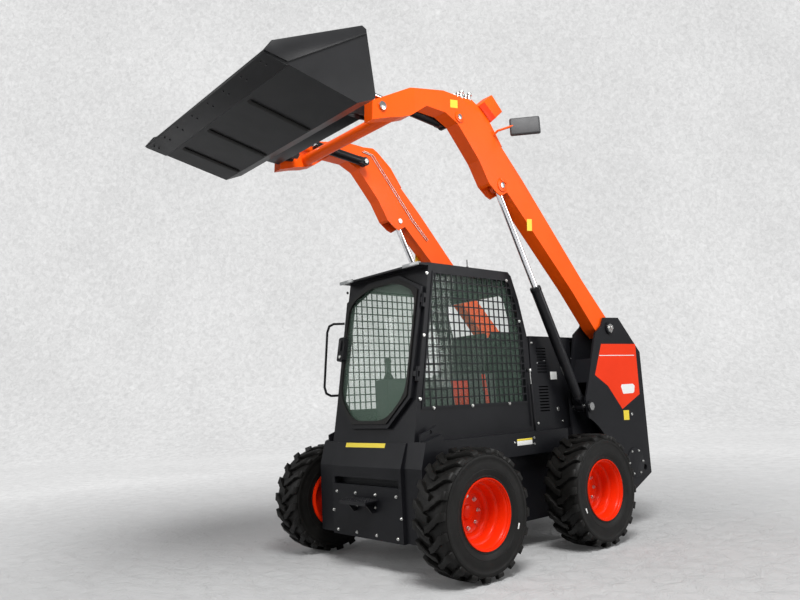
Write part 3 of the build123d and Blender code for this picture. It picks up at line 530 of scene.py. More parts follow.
# stations along a lug as (x, foot radius, top radius, half width, swing round the tyre in degrees)
LUG_ROUTE = ((-0.0150, 0.382, 0.4148, 0.0215, -6.9), (-0.0120, 0.382, 0.4148, 0.0225, -6.7),
             (0.0180, 0.382, 0.4147, 0.0235, -5.3), (0.0340, 0.382, 0.4145, 0.0245, -4.0),
             (0.0420, 0.382, 0.4143, 0.0255, -2.4), (0.0680, 0.382, 0.4138, 0.0265, 0.1),
             (0.0840, 0.380, 0.4132, 0.0275, 2.0), (0.0920, 0.378, 0.4128, 0.0290, 3.7),
             (0.1100, 0.374, 0.4115, 0.0300, 4.7), (0.1240, 0.368, 0.4085, 0.0300, 5.2),
             (0.1345, 0.362, 0.4020, 0.0290, 5.5), (0.1395, 0.360, 0.3920, 0.0275, 5.7),
             (0.1405, 0.360, 0.3800, 0.0255, 5.8), (0.1395, 0.360, 0.3735, 0.0240, 5.8))
LUG_TAPER = 0.0035
LUG_FOOT_X = 0.128
LUG_EDGE = 0.0028
# the rim's section as (x, radius): outer flange, a stepped deep dish, the disc, and the hub flange
RIM = (
    (0.1308, 0.2235), (0.1160, 0.2235), (0.1160, 0.2085), (-0.1180, 0.2085), (-0.1180, 0.2235),
    (-0.1320, 0.2235), (-0.1320, 0.1980), (-0.0620, 0.1880), (-0.0580, 0.0980), (-0.1595, 0.0980),
    (-0.1595, 0.0010), (-0.0340, 0.0010), (-0.0340, 0.0400), (-0.0380, 0.0460), (-0.0470, 0.0500),
    (-0.0490, 0.0560), (-0.0490, 0.1240), (-0.0460, 0.1300), (-0.0260, 0.1400), (-0.0180, 0.1460),
    (-0.0150, 0.1540), (-0.0130, 0.1680), (0.0280, 0.1740), (0.0380, 0.1790), (0.0420, 0.1860),
    (0.0440, 0.1930), (0.0960, 0.1990), (0.1060, 0.2040), (0.1120, 0.2110), (0.1180, 0.2160),
    (0.1260, 0.2185), (0.1308, 0.2190))


def turned(name, profile, steps):
    """A ring turned about the X axis from (x, radius) points, closed on itself."""
    drop_selection()
    bpy.ops.mesh.primitive_circle_add(vertices=len(profile), radius=1, fill_type="NOTHING")
    piece = bpy.context.object
    piece.name = name
    for vertex, (x, radius) in zip(piece.data.vertices, profile):
        vertex.co = (x, 0, radius)
    open_mesh(piece)
    bpy.ops.mesh.spin(steps=steps, angle=2 * pi, center=(0, 0, 0), axis=(1, 0, 0))
    bpy.ops.mesh.select_all(action="SELECT")
    bpy.ops.mesh.remove_doubles(threshold=0.00005)
    return smooth(turn_outwards(piece), degrees=35)


def lug():
    """One bar lug, from past the tread's middle over the shoulder and down the sidewall."""
    last = len(LUG_ROUTE) - 1
    drop_selection()
    bpy.ops.mesh.primitive_grid_add(x_subdivisions=last, y_subdivisions=1, size=2)
    piece = bpy.context.object
    open_mesh(piece)
    pull_out(0, 0, 1)
    bpy.ops.object.mode_set(mode="OBJECT")
    for vertex in piece.data.vertices:
        x, foot, top, half, swing = LUG_ROUTE[round((vertex.co.x + 1) / 2 * last)]
        high = vertex.co.z > 0.5
        side = 1 if vertex.co.y > 0 else -1
        width = half - (LUG_TAPER if high else 0.0)
        radius = top if high else foot
        angle = radians(swing) + side * width / radius
        vertex.co = (x if high else min(x, LUG_FOOT_X), radius * sin(angle), radius * cos(angle))
    return soften(turn_outwards(piece), LUG_EDGE)


casing = turned("casing", CASING, CASING_STEPS)
lug_pitch = 2 * pi / LUGS
mirrored = Matrix.Diagonal((-1, 1, 1, 1))
matrices = [Matrix.Rotation(lug_pitch * index, 4, "X") for index in range(LUGS)]
matrices += [Matrix.Rotation(lug_pitch * (index + 0.5), 4, "X") @ mirrored for index in range(LUGS)]
bars = turn_outwards(copies("bars", lug(), matrices))
tyre_pattern = join("tyre_pattern", casing, bars)
rim_pattern = turned("rim_pattern", RIM, RIM_STEPS)

# each wheel gets its tyre, its rim, eight nuts and a small blank white mark on the outer sidewall
DISC_X = 0.767
NUT = 0.0115
NUTS = 8
NUT_CIRCLE = 0.102
MARK_HALF_WIDTH, MARK_HALF_LENGTH, MARK_THICK, MARK_EDGE = 0.006, 0.019, 0.0012, 0.0003
SIDEWALL_X = 0.1388
MARK_PLACES = {"front_left": (-0.18, 0.306), "front_right": (-0.62, 0.22),
               "rear_left": (0.571, 0.300), "rear_right": (1.05, 0.22)}
for wheel, (mark_y, mark_z) in MARK_PLACES.items():
    low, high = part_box(f"tyre_{wheel}")
    side = 1 if low.x > 0 else -1
    middle_y = (low.y + high.y) / 2
    place = Matrix.Translation((side * HUB_X, middle_y, HUB_Z)) @ Matrix.Diagonal((side, 1, 1, 1))
    for pattern, name, slot_name, material, node in (
            (tyre_pattern, "lugged_tyre", "tyre_rubber", RUBBER, "tyre"),
            (rim_pattern, "stepped_rim", "rim_red", RIM_RED, "rim")):
        piece = turn_outwards(settle(duplicate(pattern, place)))
        piece.name = f"{name}_{wheel}"
        fit(piece, f"wheel_{wheel}", material)
        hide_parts(f"{node}_{wheel}")
    coat_nodes(RIM_RED, f"rim_{wheel}")
    angles = [2 * pi * k / NUTS for k in range(NUTS)]
    spots = [((side * DISC_X, middle_y + NUT_CIRCLE * cos(angle), HUB_Z + NUT_CIRCLE * sin(angle)),
              (side, 0, 0)) for angle in angles]
    bolts(f"wheel_nuts_{wheel}", f"wheel_{wheel}", NUT, spots)
    lean = atan2(mark_y - middle_y, mark_z - HUB_Z)
    mark = block("mark", (-MARK_HALF_WIDTH, -MARK_HALF_LENGTH, 0.0),
                 (MARK_HALF_WIDTH, MARK_HALF_LENGTH, MARK_THICK), MARK_EDGE)
    mark.matrix_world = (Matrix.Translation((side * (HUB_X + SIDEWALL_X), mark_y, mark_z))
                         @ Matrix.Rotation(side * pi / 2, 4, "Y")
                         @ Matrix.Rotation(-side * lean, 4, "Z"))
    settle(mark)
    mark.name = f"tyre_mark_{wheel}"
    fit(mark, f"wheel_{wheel}", WHITE_FILM)
bpy.data.objects.remove(tyre_pattern)
bpy.data.objects.remove(rim_pattern)

# ---------------------------------------------------------------- towers
# Two box towers welded of thick plate in the body's black. Each has a blank two-tone flash of film,
# a round inspection cover on six bolts, and a pivot pin held by a washer and nut.
# deep orange: film on the towers, paint on the consoles, and painted shade on the valve box's outer
# face
DEEP_ORANGE_FILM_AND_PAINTED_SHADE = paint("deep_orange_film_and_painted_shade", (0.72, 0.036, 0.006), 0.38, vary=0.04, grain=200,
                   depth=0.00004, shine=0.1)
PIN_STEEL = paint("ground_steel", (0.55, 0.55, 0.54), 0.25, vary=0.08, metallic=1.0, grain=300)
coat_nodes(BODY_BLACK, "tower_outer_plates", "tower_inner_plates", "tower_webs")
coat_nodes(PIN_STEEL, "tower_pins")
SIDES = (("left", 1), ("right", -1))
TOWER_FACE_X = 0.690
FILM = 0.0010
UPPER_FILM = FILM * 1.5
FLASH = ((1.346, 1.541), (1.876, 1.549), (1.869, 1.106), (1.577, 0.988), (1.392, 1.187),
         (1.218, 1.281))
RULE_LINE = ((1.300, 1.446), (1.840, 1.451), (1.840, 1.445), (1.300, 1.440))
BADGE = ((1.585, 1.180), (1.600, 1.196), (1.775, 1.198), (1.800, 1.180), (1.785, 1.130),
         (1.765, 1.118), (1.610, 1.116))
TOWER_NOTICE = ((1.590, 0.976), (1.672, 0.974), (1.668, 0.892), (1.586, 0.895))
PLUG, PLUG_RADIUS, PLUG_THICK = (1.717, 0.939), 0.013, 0.003
PIVOT = (1.480, 1.678)
WASHER_X, WASHER_RADIUS = (0.7045, 0.7085), 0.044
PIVOT_NUT, PIVOT_NUT_X = 0.017, 0.711
PIVOT_BOLT, PIVOT_CIRCLE, PIVOT_ANGLES = 0.006, 0.034, (0.6, 2.7, 4.8)
ROUND_COVER, ROUND_RADIUS, ROUND_THICK = (1.706, 0.534), 0.125, 0.006
ROUND_BOLT, ROUND_CIRCLE, ROUND_BOLTS = 0.0075, 0.105, 6


def on_circle(centre, radius, angle):
    """The (y, z) point at this angle round a centre."""
    return (centre[0] + radius * cos(angle), centre[1] + radius * sin(angle))


for side_name, side in SIDES:
    face = side * TOWER_FACE_X
    outwards = (side, 0, 0)
    flash = plate(f"flash_{side_name}", FLASH, face, face + side * FILM, edge=0)
    fit(flash, "chassis", DEEP_ORANGE_FILM_AND_PAINTED_SHADE)
    marks = [plate("mark", shape, face, face + side * UPPER_FILM, edge=0)
             for shape in (RULE_LINE, BADGE)]
    fit(join(f"flash_marks_{side_name}", *marks), "chassis", WHITE_FILM)
    notice = plate(f"tower_notice_{side_name}", TOWER_NOTICE, face, face + side * FILM, edge=0)
    fit(notice, "chassis", YELLOW_FILM)
    plug = rod(f"tower_plug_{side_name}", (face, *PLUG), (face + side * PLUG_THICK, *PLUG),
               PLUG_RADIUS, sides=24, edge=0.0006)
    fit(plug, "chassis", ZINC)
    washer = rod(f"pivot_washer_{side_name}", (side * WASHER_X[0], *PIVOT),
                 (side * WASHER_X[1], *PIVOT), WASHER_RADIUS, sides=32, edge=0.001)
    fit(washer, "chassis", PLATE_BLACK)
    bolts(f"pivot_nut_{side_name}", "chassis", PIVOT_NUT,
          [((side * PIVOT_NUT_X, *PIVOT), outwards)])
    bolts(f"pivot_bolts_{side_name}", "chassis", PIVOT_BOLT,
          [((side * WASHER_X[1], *on_circle(PIVOT, PIVOT_CIRCLE, angle)), outwards)
           for angle in PIVOT_ANGLES])
    cover_face = face + side * ROUND_THICK
    cover = rod(f"round_cover_{side_name}", (face, *ROUND_COVER), (cover_face, *ROUND_COVER),
                ROUND_RADIUS, sides=64, edge=0.002)
    fit(cover, "chassis", BODY_BLACK)
    bolts(f"tower_bolts_{side_name}", "chassis", ROUND_BOLT,
          [((cover_face, *on_circle(ROUND_COVER, ROUND_CIRCLE, 2 * pi * k / ROUND_BOLTS)), outwards)
           for k in range(ROUND_BOLTS)])

# ---------------------------------------------------------------- engine and covers
# The engine stands inside the bay as a plain cast iron block, with painted sheet covers bolted
# round it. Each side panel has a turning catch, and a gas spring beside it holds the tipped cab.
CAST_IRON = paint("cast_iron", (0.10, 0.10, 0.10), 0.6, vary=0.2, metallic=0.4, grain=180,
                  depth=0.0006)
LAMP_RED = paint("red_lamp_lens", (0.45, 0.01, 0.01), 0.15, vary=0.03, coat=0.6)
coat_nodes(CAST_IRON, "engine_block")
coat_nodes(BODY_BLACK, "side_panels", "hood", "rear_door")
PANEL_X = 0.478
PANEL_BOLT = 0.008
PANEL_BOLTS = ((0.690, 1.560), (0.700, 0.920), (1.020, 1.560), (1.020, 0.920))
CATCH, CATCH_RADIUS, CATCH_THICK = (0.965, 1.020), 0.017, 0.007
SPRING_X = 0.494
SPRING_FOOT, SPRING_NECK, SPRING_HEAD = (0.634, 0.905), (0.626, 1.230), (0.622, 1.335)
SPRING_RADIUS, STEM_RADIUS = 0.010, 0.0045
EYE, EYE_END_X, EYE_RADIUS = (0.622, 1.340), 0.505, 0.012
PANEL_NOTICE_LOW, PANEL_NOTICE_HIGH = (PANEL_X, 0.900, 1.262), (PANEL_X + 0.001, 0.985, 1.325)
for side_name, side in SIDES:
    bolts(f"panel_bolts_{side_name}", "chassis", PANEL_BOLT,
          [((side * PANEL_X, y, z), (side, 0, 0)) for y, z in PANEL_BOLTS])
    catch = rod(f"panel_catch_{side_name}", (side * PANEL_X, *CATCH),
                (side * (PANEL_X + CATCH_THICK), *CATCH), CATCH_RADIUS, sides=24, edge=0.0015)
    fit(catch, "chassis", ZINC)
    foot, neck, head = ((side * SPRING_X, *end) for end in (SPRING_FOOT, SPRING_NECK, SPRING_HEAD))
    barrel = rod(f"spring_body_{side_name}", foot, neck, SPRING_RADIUS, sides=20, edge=0.001)
    fit(barrel, "chassis", PLATE_BLACK)
    stem = rod("stem", neck, head, STEM_RADIUS, sides=16)
    eye = rod("eye", (side * PANEL_X, *EYE), (side * EYE_END_X, *EYE), EYE_RADIUS, sides=20,
              edge=0.0015)
    fit(join(f"spring_stem_{side_name}", stem, eye), "chassis", ZINC)
notice = block("panel_notice", PANEL_NOTICE_LOW, PANEL_NOTICE_HIGH, edge=0.0003)
fit(notice, "chassis", WHITE_FILM)

# ---------------------------------------------------------------- cab
# A welded cab frame in the body's black, with wire screens bolted over its tinted side windows and
# a framed glass door. Inside are a padded seat and two moulded consoles with booted levers.
CAB_TRIM = paint("moulded_black_plastic", (0.030, 0.030, 0.032), 0.55, vary=0.12, grain=420,
                 depth=0.0003)
LAMP_CLEAR = paint("clear_lamp_lens", (0.30, 0.31, 0.31), 0.15, vary=0.05, coat=0.5)
GLASS, _, pane = new_material("tinted_glass")
set_up(pane, Base_Color=(0.24, 0.36, 0.28, 1), Roughness=0.04, Alpha=0.15, Coat_Weight=0.5)
GLASS.surface_render_method = "BLENDED"
coat_nodes(BODY_BLACK, "cab_frame", "cab_roof", "side_screens", "door_hinges", "grab_handle",
           "door_frame")
coat_nodes(GLASS, "cab_windows", "door_glass")
coat_nodes(CAB_TRIM, "seat", "seat_base", "control_levers")
coat_nodes(LAMP_CLEAR, "lamps")

# work lamps over the door and red lamps on the towers' backs, as middle and half width, y and z
LAMP_SHAPES = (((0.388, 0.085), (-0.502, -0.486), (2.095, 2.121), LAMP_CLEAR),
               ((0.605, 0.045), (1.940, 1.952), (1.255, 1.405), LAMP_RED))
LENS_EDGE = 0.004
lens_set = []
for side in (-1, 1):
    for (middle_x, half), (front, back), (foot, top), material in LAMP_SHAPES:
        lens = block("lens", (side * middle_x - half, front, foot),
                     (side * middle_x + half, back, top), LENS_EDGE)
        lens.data.materials.append(material)
        lens_set.append(lens)
lenses = join("lamp_lenses", *lens_set)
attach(lenses, "chassis")
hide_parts("lamps")

# the screens' bolts, and a short whip aerial on the roof
SCREEN_X = 0.476
SCREEN_BOLT = 0.0085
SCREEN_BOLTS = ((-0.424, 1.087), (-0.036, 1.087), (0.374, 1.087), (-0.480, 1.594), (-0.548, 1.153),
                (-0.420, 2.041), (0.560, 1.730), (0.440, 2.050))
AERIAL_FOOT, AERIAL_TOP, AERIAL_RADIUS = (0.430, 0.050, 2.122), (0.430, 0.052, 2.190), 0.004
SOCKET_TOP, SOCKET_RADIUS = (0.430, 0.050, 2.136), 0.011
for side_name, side in SIDES:
    bolts(f"screen_bolts_{side_name}", "chassis", SCREEN_BOLT,
          [((side * SCREEN_X, y, z), (side, 0, 0)) for y, z in SCREEN_BOLTS])
whip = rod("whip", AERIAL_FOOT, AERIAL_TOP, AERIAL_RADIUS, sides=12)
socket = rod("socket", AERIAL_FOOT, SOCKET_TOP, SOCKET_RADIUS, sides=20, edge=0.002)
fit(join("aerial", whip, socket), "chassis", CAB_TRIM)

# the door: a rubber seal with rounded corners round the glass, the latch's lock and pull
LEAN = radians(10.3)
DOOR_FOOT = Vector((0, -0.591, 1.014))
DOOR_OUT = Vector((0, -cos(LEAN), sin(LEAN)))
DOOR_UP = Vector((0, sin(LEAN), cos(LEAN)))
GLASS_SIDE = ((0.200, 0.985), (0.397, 1.174), (0.416, 1.926), (0.180, 2.036))
GLASS_EDGE = GLASS_SIDE + tuple((-x, z) for x, z in reversed(GLASS_SIDE))
GLASS_MIDDLE = Vector((0, 1.51))
OUTER_CORNER, INNER_CORNER, INNER_SHARE = 0.012, 0.110, 0.955
CORNER_STEPS = 8
SEAL_OUT, SEAL_THICK = 0.034, 0.014
LATCH_X = -0.408
LOCK_Z, LOCK_OUT, LOCK_RADIUS = 1.500, (0.070, 0.077), 0.013
PULL_Z, PULL_OUT, PULL_RADIUS = (1.545, 1.625), 0.082, 0.009


def on_door(x, z, out):
    """A point over the door's plane at side position x and height z."""
    climb = DOOR_UP * ((z - DOOR_FOOT.z) / cos(LEAN))
    return DOOR_FOOT + climb + DOOR_OUT * out + Vector((x, 0, 0))


def rounded_loop(points, radius):
    """A closed outline with its corners rounded."""
    loop = []
    for index, point in enumerate(points):
        corner = Vector(point)
        before = Vector(points[index - 1]) - corner
        after = Vector(points[(index + 1) % len(points)]) - corner
        cut = min(radius, before.length * 0.45, after.length * 0.45)
        start = corner + before.normalized() * cut
        end = corner + after.normalized() * cut
        for step in range(CORNER_STEPS + 1):
            t = step / CORNER_STEPS
            loop.append(start * (1 - t) ** 2 + corner * 2 * t * (1 - t) + end * t ** 2)
    return loop


outer = rounded_loop(GLASS_EDGE, OUTER_CORNER)
inner = [GLASS_MIDDLE + (spot - GLASS_MIDDLE) * INNER_SHARE
         for spot in rounded_loop(GLASS_EDGE, INNER_CORNER)]
drop_selection()
bpy.ops.mesh.primitive_grid_add(x_subdivisions=len(outer), y_subdivisions=1, size=2)
seal = bpy.context.object
seal.name = "door_seal"
for vertex in seal.data.vertices:
    index = round((vertex.co.x + 1) / 2 * len(outer)) % len(outer)
    spot = outer[index] if vertex.co.y > 0 else inner[index]
    vertex.co = on_door(spot.x, spot.y, SEAL_OUT)
modify(seal, "WELD", merge_threshold=0.0001)
modify(seal, "SOLIDIFY", thickness=SEAL_THICK, offset=0)
fit(smooth(turn_outwards(seal)), "cab_door", RUBBER)
lock = rod("door_lock", on_door(LATCH_X, LOCK_Z, LOCK_OUT[0]),
           on_door(LATCH_X, LOCK_Z, LOCK_OUT[1]), LOCK_RADIUS, sides=24, edge=0.001)
fit(lock, "cab_door", ZINC)
pull = rod("door_pull", on_door(LATCH_X, PULL_Z[0], PULL_OUT),
           on_door(LATCH_X, PULL_Z[1], PULL_OUT), PULL_RADIUS, sides=20, edge=0.003)
fit(pull, "cab_door", CAB_TRIM)


def tube(name, points, radius, sides=12):
    """A bent pipe through these points, with a ball in each bend."""
    runs = [rod("run", start, end, radius, sides) for start, end in zip(points, points[1:])]
    for point in points[1:-1]:
        drop_selection()
        bpy.ops.mesh.primitive_uv_sphere_add(segments=sides, ring_count=8, radius=radius,
                                             location=point)
        runs.append(smooth(settle(bpy.context.object), degrees=30))
    return join(name, *runs)


# the grab handle, bent out in front of the cab's corner
HANDLE = ((-0.466, -0.470, 1.785), (-0.512, -0.545, 1.785), (-0.518, -0.585, 1.765),
          (-0.518, -0.606, 1.715), (-0.518, -0.650, 1.285), (-0.518, -0.635, 1.235),
          (-0.512, -0.595, 1.215), (-0.466, -0.548, 1.215))
HANDLE_RADIUS = 0.0095
handle = tube("handle", HANDLE, HANDLE_RADIUS, sides=16)
fit(handle, "chassis", PLATE_BLACK)
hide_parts("grab_handle")

# the seat: two padded cushions in black vinyl, each with two sewn channels, blown up a little
SEAT_VINYL = paint("seat_vinyl", (0.016, 0.016, 0.017), 0.46, vary=0.15, grain=700, depth=0.0004,
                   patch=6, shine=0.3)
PAD_ROUND = 0.022
PAD_FACET = 0.007
SWELL_PRESSURE, SWELL_STEPS, SWELL_CAP = 4.0, 20, 0.012
CHANNEL_X, CHANNEL_HALF, CHANNEL_DEEP = 0.150, 0.014, 0.007
PADS = (("seat_cushion", (-0.228, 0.015, 0.012), (0.228, 0.425, 0.078), 3, (0, -0.092, 1.155)),
        ("back_cushion", (-0.225, 0.015, 0.012), (0.225, 0.435, 0.070), 79, (0, 0.405, 1.235)))


def swell(pad):
    """Blow a pad up by cloth pressure, and hold each point to the cap."""
    take(pad)
    cloth = pad.modifiers.new("Cloth", "CLOTH")
    cloth.settings.use_pressure = True
    cloth.settings.uniform_pressure_force = SWELL_PRESSURE
    cloth.settings.effector_weights.gravity = 0.0
    flat = [vertex.co.copy() for vertex in pad.data.vertices]
    for step in range(1, SWELL_STEPS + 1):
        bpy.context.scene.frame_set(step)
    bpy.ops.object.modifier_apply(modifier=cloth.name)
    bpy.context.scene.frame_set(1)
    for vertex, start in zip(pad.data.vertices, flat):
        move = vertex.co - start
        if move.length > SWELL_CAP:
            vertex.co = start + move.normalized() * SWELL_CAP


def sew(pad, middle_z):
    """Draw both faces of a pad in along its two channels."""
    for vertex in pad.data.vertices:
        away = abs(abs(vertex.co.x) - CHANNEL_X)
        if away < CHANNEL_HALF:
            inwards = -1 if vertex.co.z > middle_z else 1
            vertex.co.z += inwards * CHANNEL_DEEP * (1 - away / CHANNEL_HALF) ** 2


for name, low, high, lean, foot in PADS:
    pad = block(name, low, high, edge=0)
    modify(pad, "BEVEL", width=PAD_ROUND, segments=4, limit_method="ANGLE", angle_limit=BEVEL_FROM)
    modify(pad, "REMESH", mode="VOXEL", voxel_size=PAD_FACET)
    swell(pad)
    sew(pad, (low[2] + high[2]) / 2)
    modify(pad, "SUBSURF", levels=1, render_levels=1)
    pad.matrix_world = Matrix.Translation(foot) @ Matrix.Rotation(radians(lean), 4, "X")
    fit(smooth(settle(pad), degrees=60), "chassis", SEAT_VINYL)
    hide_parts("seat")

# painted inset panels on the consoles' outer faces, and rubber boots under the levers
CONSOLE_X, INSET_THICK, INSET_EDGE = 0.410, 0.003, 0.001
INSETS = (((-0.180, 1.272), (-0.010, 1.272), (0.003, 1.092), (-0.150, 1.092)),
          ((0.150, 1.318), (0.185, 1.318), (0.221, 1.084), (0.170, 1.084)))
BOOT_X, BOOT_Y, BOOT_Z = 0.320, -0.160, 1.354
BOOT_FOOT, BOOT_NECK, BOOT_HIGH, BOOT_EDGE = 0.048, 0.018, 0.06, 0.006
for side_name, side in SIDES:
    face = side * CONSOLE_X
    insets = [plate("inset", shape, face, face + side * INSET_THICK, INSET_EDGE)
              for shape in INSETS]
    fit(join(f"console_panels_{side_name}", *insets), "chassis", DEEP_ORANGE_FILM_AND_PAINTED_SHADE)
    drop_selection()
    bpy.ops.mesh.primitive_cone_add(vertices=32, radius1=BOOT_FOOT, radius2=BOOT_NECK,
                                    depth=BOOT_HIGH, location=(side * BOOT_X, BOOT_Y, BOOT_Z))
    boot = soften(settle(bpy.context.object), BOOT_EDGE)
    boot.name = f"lever_boot_{side_name}"
    fit(boot, "chassis", RUBBER)

# ---------------------------------------------------------------- boom
# Two box-section arms of welded plate in gloss orange, joined by a tube behind the bucket. They
# carry welded bosses at the cylinders' pins, clipped hydraulic pipes, a valve box and mirrors.
ARM_ORANGE = paint("gloss_orange_paint", (0.88, 0.094, 0.003), 0.32, vary=0.06, coat=0.06,
                   grain=420, depth=0.00008, shine=0.16)
coat_nodes(ARM_ORANGE, "lift_arms", "boom_cross_tube", "valve_box")
coat_nodes(PIN_STEEL, "boom_pins")
coat_nodes(CAB_TRIM, "mirrors")
ARM_INNER, ARM_OUTER = 0.546, 0.664
KNEE = ((-0.230, 3.360), (-0.142, 3.366), (-0.025, 3.378), (0.025, 3.352), (0.172, 3.232),
        (0.290, 3.068), (0.200, 3.110), (0.080, 3.230), (-0.140, 3.330))
KNEE_INSET, KNEE_EDGE = 0.002, 0.003
LIFT_EYE, TILT_BASE = (0.247, 2.750), (-0.180, 3.203)
BOSS_THICK, BOSSES = 0.007, ((LIFT_EYE, 0.050), (TILT_BASE, 0.042))
PIN_OUT, PIN_ENDS = (0.003, 0.013), ((LIFT_EYE, 0.022), (TILT_BASE, 0.020))
KEEPER_HALF, KEEPER_EDGE, KEEPER_TURN = Vector((0.002, 0.036, 0.009)), 0.001, -0.3
KEEPER_PLACE = (ARM_OUTER + 0.010, LIFT_EYE[0] + 0.012, LIFT_EYE[1] + 0.036)
ARM_NOTICES = (((-0.262, 3.318), (-0.186, 3.330), (-0.190, 3.268), (-0.266, 3.256)),
               ((0.520, 2.520), (0.580, 2.526), (0.572, 2.430), (0.512, 2.424)))
ARM_FILM = 0.001
# the pale pipe down the arm's back, and a black pipe beside it that is a painted shadow of it, start
# at the knee, then follow the back's straight line
BACK_START, BACK_END = Vector((0.500, 2.835)), Vector((1.194, 2.072))
BACK_RUN = (BACK_END - BACK_START).normalized()
BACK_OUT = Vector((-BACK_RUN.y, BACK_RUN.x))
BACK_KNEE = (0.302, 3.078)
# the dark entry is a painted shadow of the pale pipe, built as a black pipe beside it
BACK_PIPE_AND_PAINTED_SHADOW = (("dark", 0.600, PLATE_BLACK), ("pale", 0.622, ZINC))
BACK_PIPE_RADIUS, BACK_PIPE_OUT, BACK_PIPE_BENDS = 0.006, 0.012, (0.030, 0.400, 1.020)
CLIP_X, CLIP_OUT, CLIP_STATIONS = 0.611, 0.010, (0.12, 0.52, 0.94)
CLIP_HALF, CLIP_EDGE = Vector((0.024, 0.010, 0.010)), 0.002
INNER_ROUTE = ((-0.152, 3.318), (-0.053, 3.301), (0.393, 2.761), (0.560, 2.600))
INNER_PIPE_X, INNER_PIPE_RADIUS, INNER_SHIFTS = ARM_INNER - 0.0045, 0.0035, (0.0, 0.018)
for side_name, side in SIDES:
    face = side * ARM_OUTER
    # the knee's corner plate, welded bosses at both cylinder pins, the pins' ends and their keepers
    knee = plate(f"arm_knee_{side_name}", KNEE, side * (ARM_INNER + KNEE_INSET),
                 side * (ARM_OUTER - KNEE_INSET), KNEE_EDGE)
    fit(knee, "boom", ARM_ORANGE)
    boss_face = side * (ARM_OUTER + BOSS_THICK)
    bosses = [rod("boss", (face, *centre), (boss_face, *centre), radius, sides=48, edge=0.002)
              for centre, radius in BOSSES]
    fit(join(f"arm_bosses_{side_name}", *bosses), "boom", ARM_ORANGE)
    end_x = [side * (ARM_OUTER + out) for out in PIN_OUT]
    ends = [rod("end", (end_x[0], *centre), (end_x[1], *centre), radius, sides=32, edge=0.0015)
            for centre, radius in PIN_ENDS]
    fit(join(f"arm_pin_ends_{side_name}", *ends), "boom", PIN_STEEL)
    keeper = block("keeper", -KEEPER_HALF, KEEPER_HALF, KEEPER_EDGE)
    keeper.matrix_world = (Matrix.Translation((side * KEEPER_PLACE[0], *KEEPER_PLACE[1:]))
                           @ Matrix.Rotation(KEEPER_TURN, 4, "X"))
    settle(keeper)
    keeper.name = f"pin_keeper_{side_name}"
    fit(keeper, "boom", ARM_ORANGE)
    notices = [plate("notice", shape, face, side * (ARM_OUTER + ARM_FILM), edge=0)
               for shape in ARM_NOTICES]
    fit(join(f"arm_notices_{side_name}", *notices), "boom", YELLOW_FILM)
    # a clipped pale pipe down the arm's back with a black pipe beside it as its painted shadow, and
    # two thin pipes along its inner face
    for pipe_name, pipe_x, pipe_material in BACK_PIPE_AND_PAINTED_SHADOW:
        points = [(side * pipe_x, *BACK_KNEE)]
        for station in BACK_PIPE_BENDS:
            spot = BACK_START + BACK_RUN * station + BACK_OUT * BACK_PIPE_OUT
            points.append((side * pipe_x, spot.x, spot.y))
        pipe = tube(f"back_pipe_{pipe_name}_{side_name}", points, BACK_PIPE_RADIUS)
        fit(pipe, "boom", pipe_material)
    clips = []
    for station in CLIP_STATIONS:
        spot = BACK_START + BACK_RUN * station
        clip = block("clip", -CLIP_HALF, CLIP_HALF, CLIP_EDGE)
        clip.matrix_world = (Matrix.Translation((side * CLIP_X, spot.x + BACK_OUT.x * CLIP_OUT,
                                                 spot.y + BACK_OUT.y * CLIP_OUT))
                             @ Matrix.Rotation(atan2(BACK_RUN.y, BACK_RUN.x), 4, "X"))
        clips.append(settle(clip))
    fit(join(f"back_clips_{side_name}", *clips), "boom", ARM_ORANGE)
    routes = [[(side * INNER_PIPE_X, y + shift, z + shift * 0.6) for y, z in INNER_ROUTE]
              for shift in INNER_SHIFTS]
    inner_pipes = [tube("pipe", route, INNER_PIPE_RADIUS) for route in routes]
    fit(join(f"inner_pipes_{side_name}", *inner_pipes), "boom", ZINC)

# the valve box: an orange cover on the left arm's back, with bright couplings beside it. A deep
# orange strip on the cover's outer face is painted shade, standing in for the shaded lower front
# face.
VALVE_X, VALVE_EDGE = (0.566, 0.668), 0.006
VALVE_OUTLINE = ((0.040, 3.345), (0.205, 3.476), (0.318, 3.364), (0.168, 3.238))
VALVE_PAINTED_SHADE_X, VALVE_PAINTED_SHADE_EDGE = (0.668, 0.6705), 0.001
VALVE_PAINTED_SHADE = ((0.046, 3.343), (0.106, 3.391), (0.230, 3.290), (0.168, 3.245))
COUPLING_X = (0.575, 0.612, 0.650)
COUPLING_FEET = ((-0.130, 3.362), (-0.045, 3.366))
# a coupling's body and its collar, as start and end from its foot, and radius
COUPLING_SHAPE = (((0, 0, 0), (-0.002, 0.012, 0.066), 0.0135),
                  ((0, 0.008, 0.044), (-0.001, 0.011, 0.060), 0.0175))
valve = plate("valve_cover", VALVE_OUTLINE, *VALVE_X, VALVE_EDGE)
fit(valve, "boom", ARM_ORANGE)
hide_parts("valve_box")
# painted shade: a deep orange strip over the lower front of the cover's outer face
valve_painted_shade = plate("valve_painted_shade", VALVE_PAINTED_SHADE, *VALVE_PAINTED_SHADE_X, VALVE_PAINTED_SHADE_EDGE)
fit(valve_painted_shade, "boom", DEEP_ORANGE_FILM_AND_PAINTED_SHADE)
couplings = []
for x in COUPLING_X:
    for y, z in COUPLING_FEET:
        for (x0, y0, z0), (x1, y1, z1), radius in COUPLING_SHAPE:
            couplings.append(rod("coupling", (x + x0, y + y0, z + z0), (x + x1, y + y1, z + z1),
                                 radius, sides=18, edge=0.001))
fit(join("couplings", *couplings), "boom", ZINC)

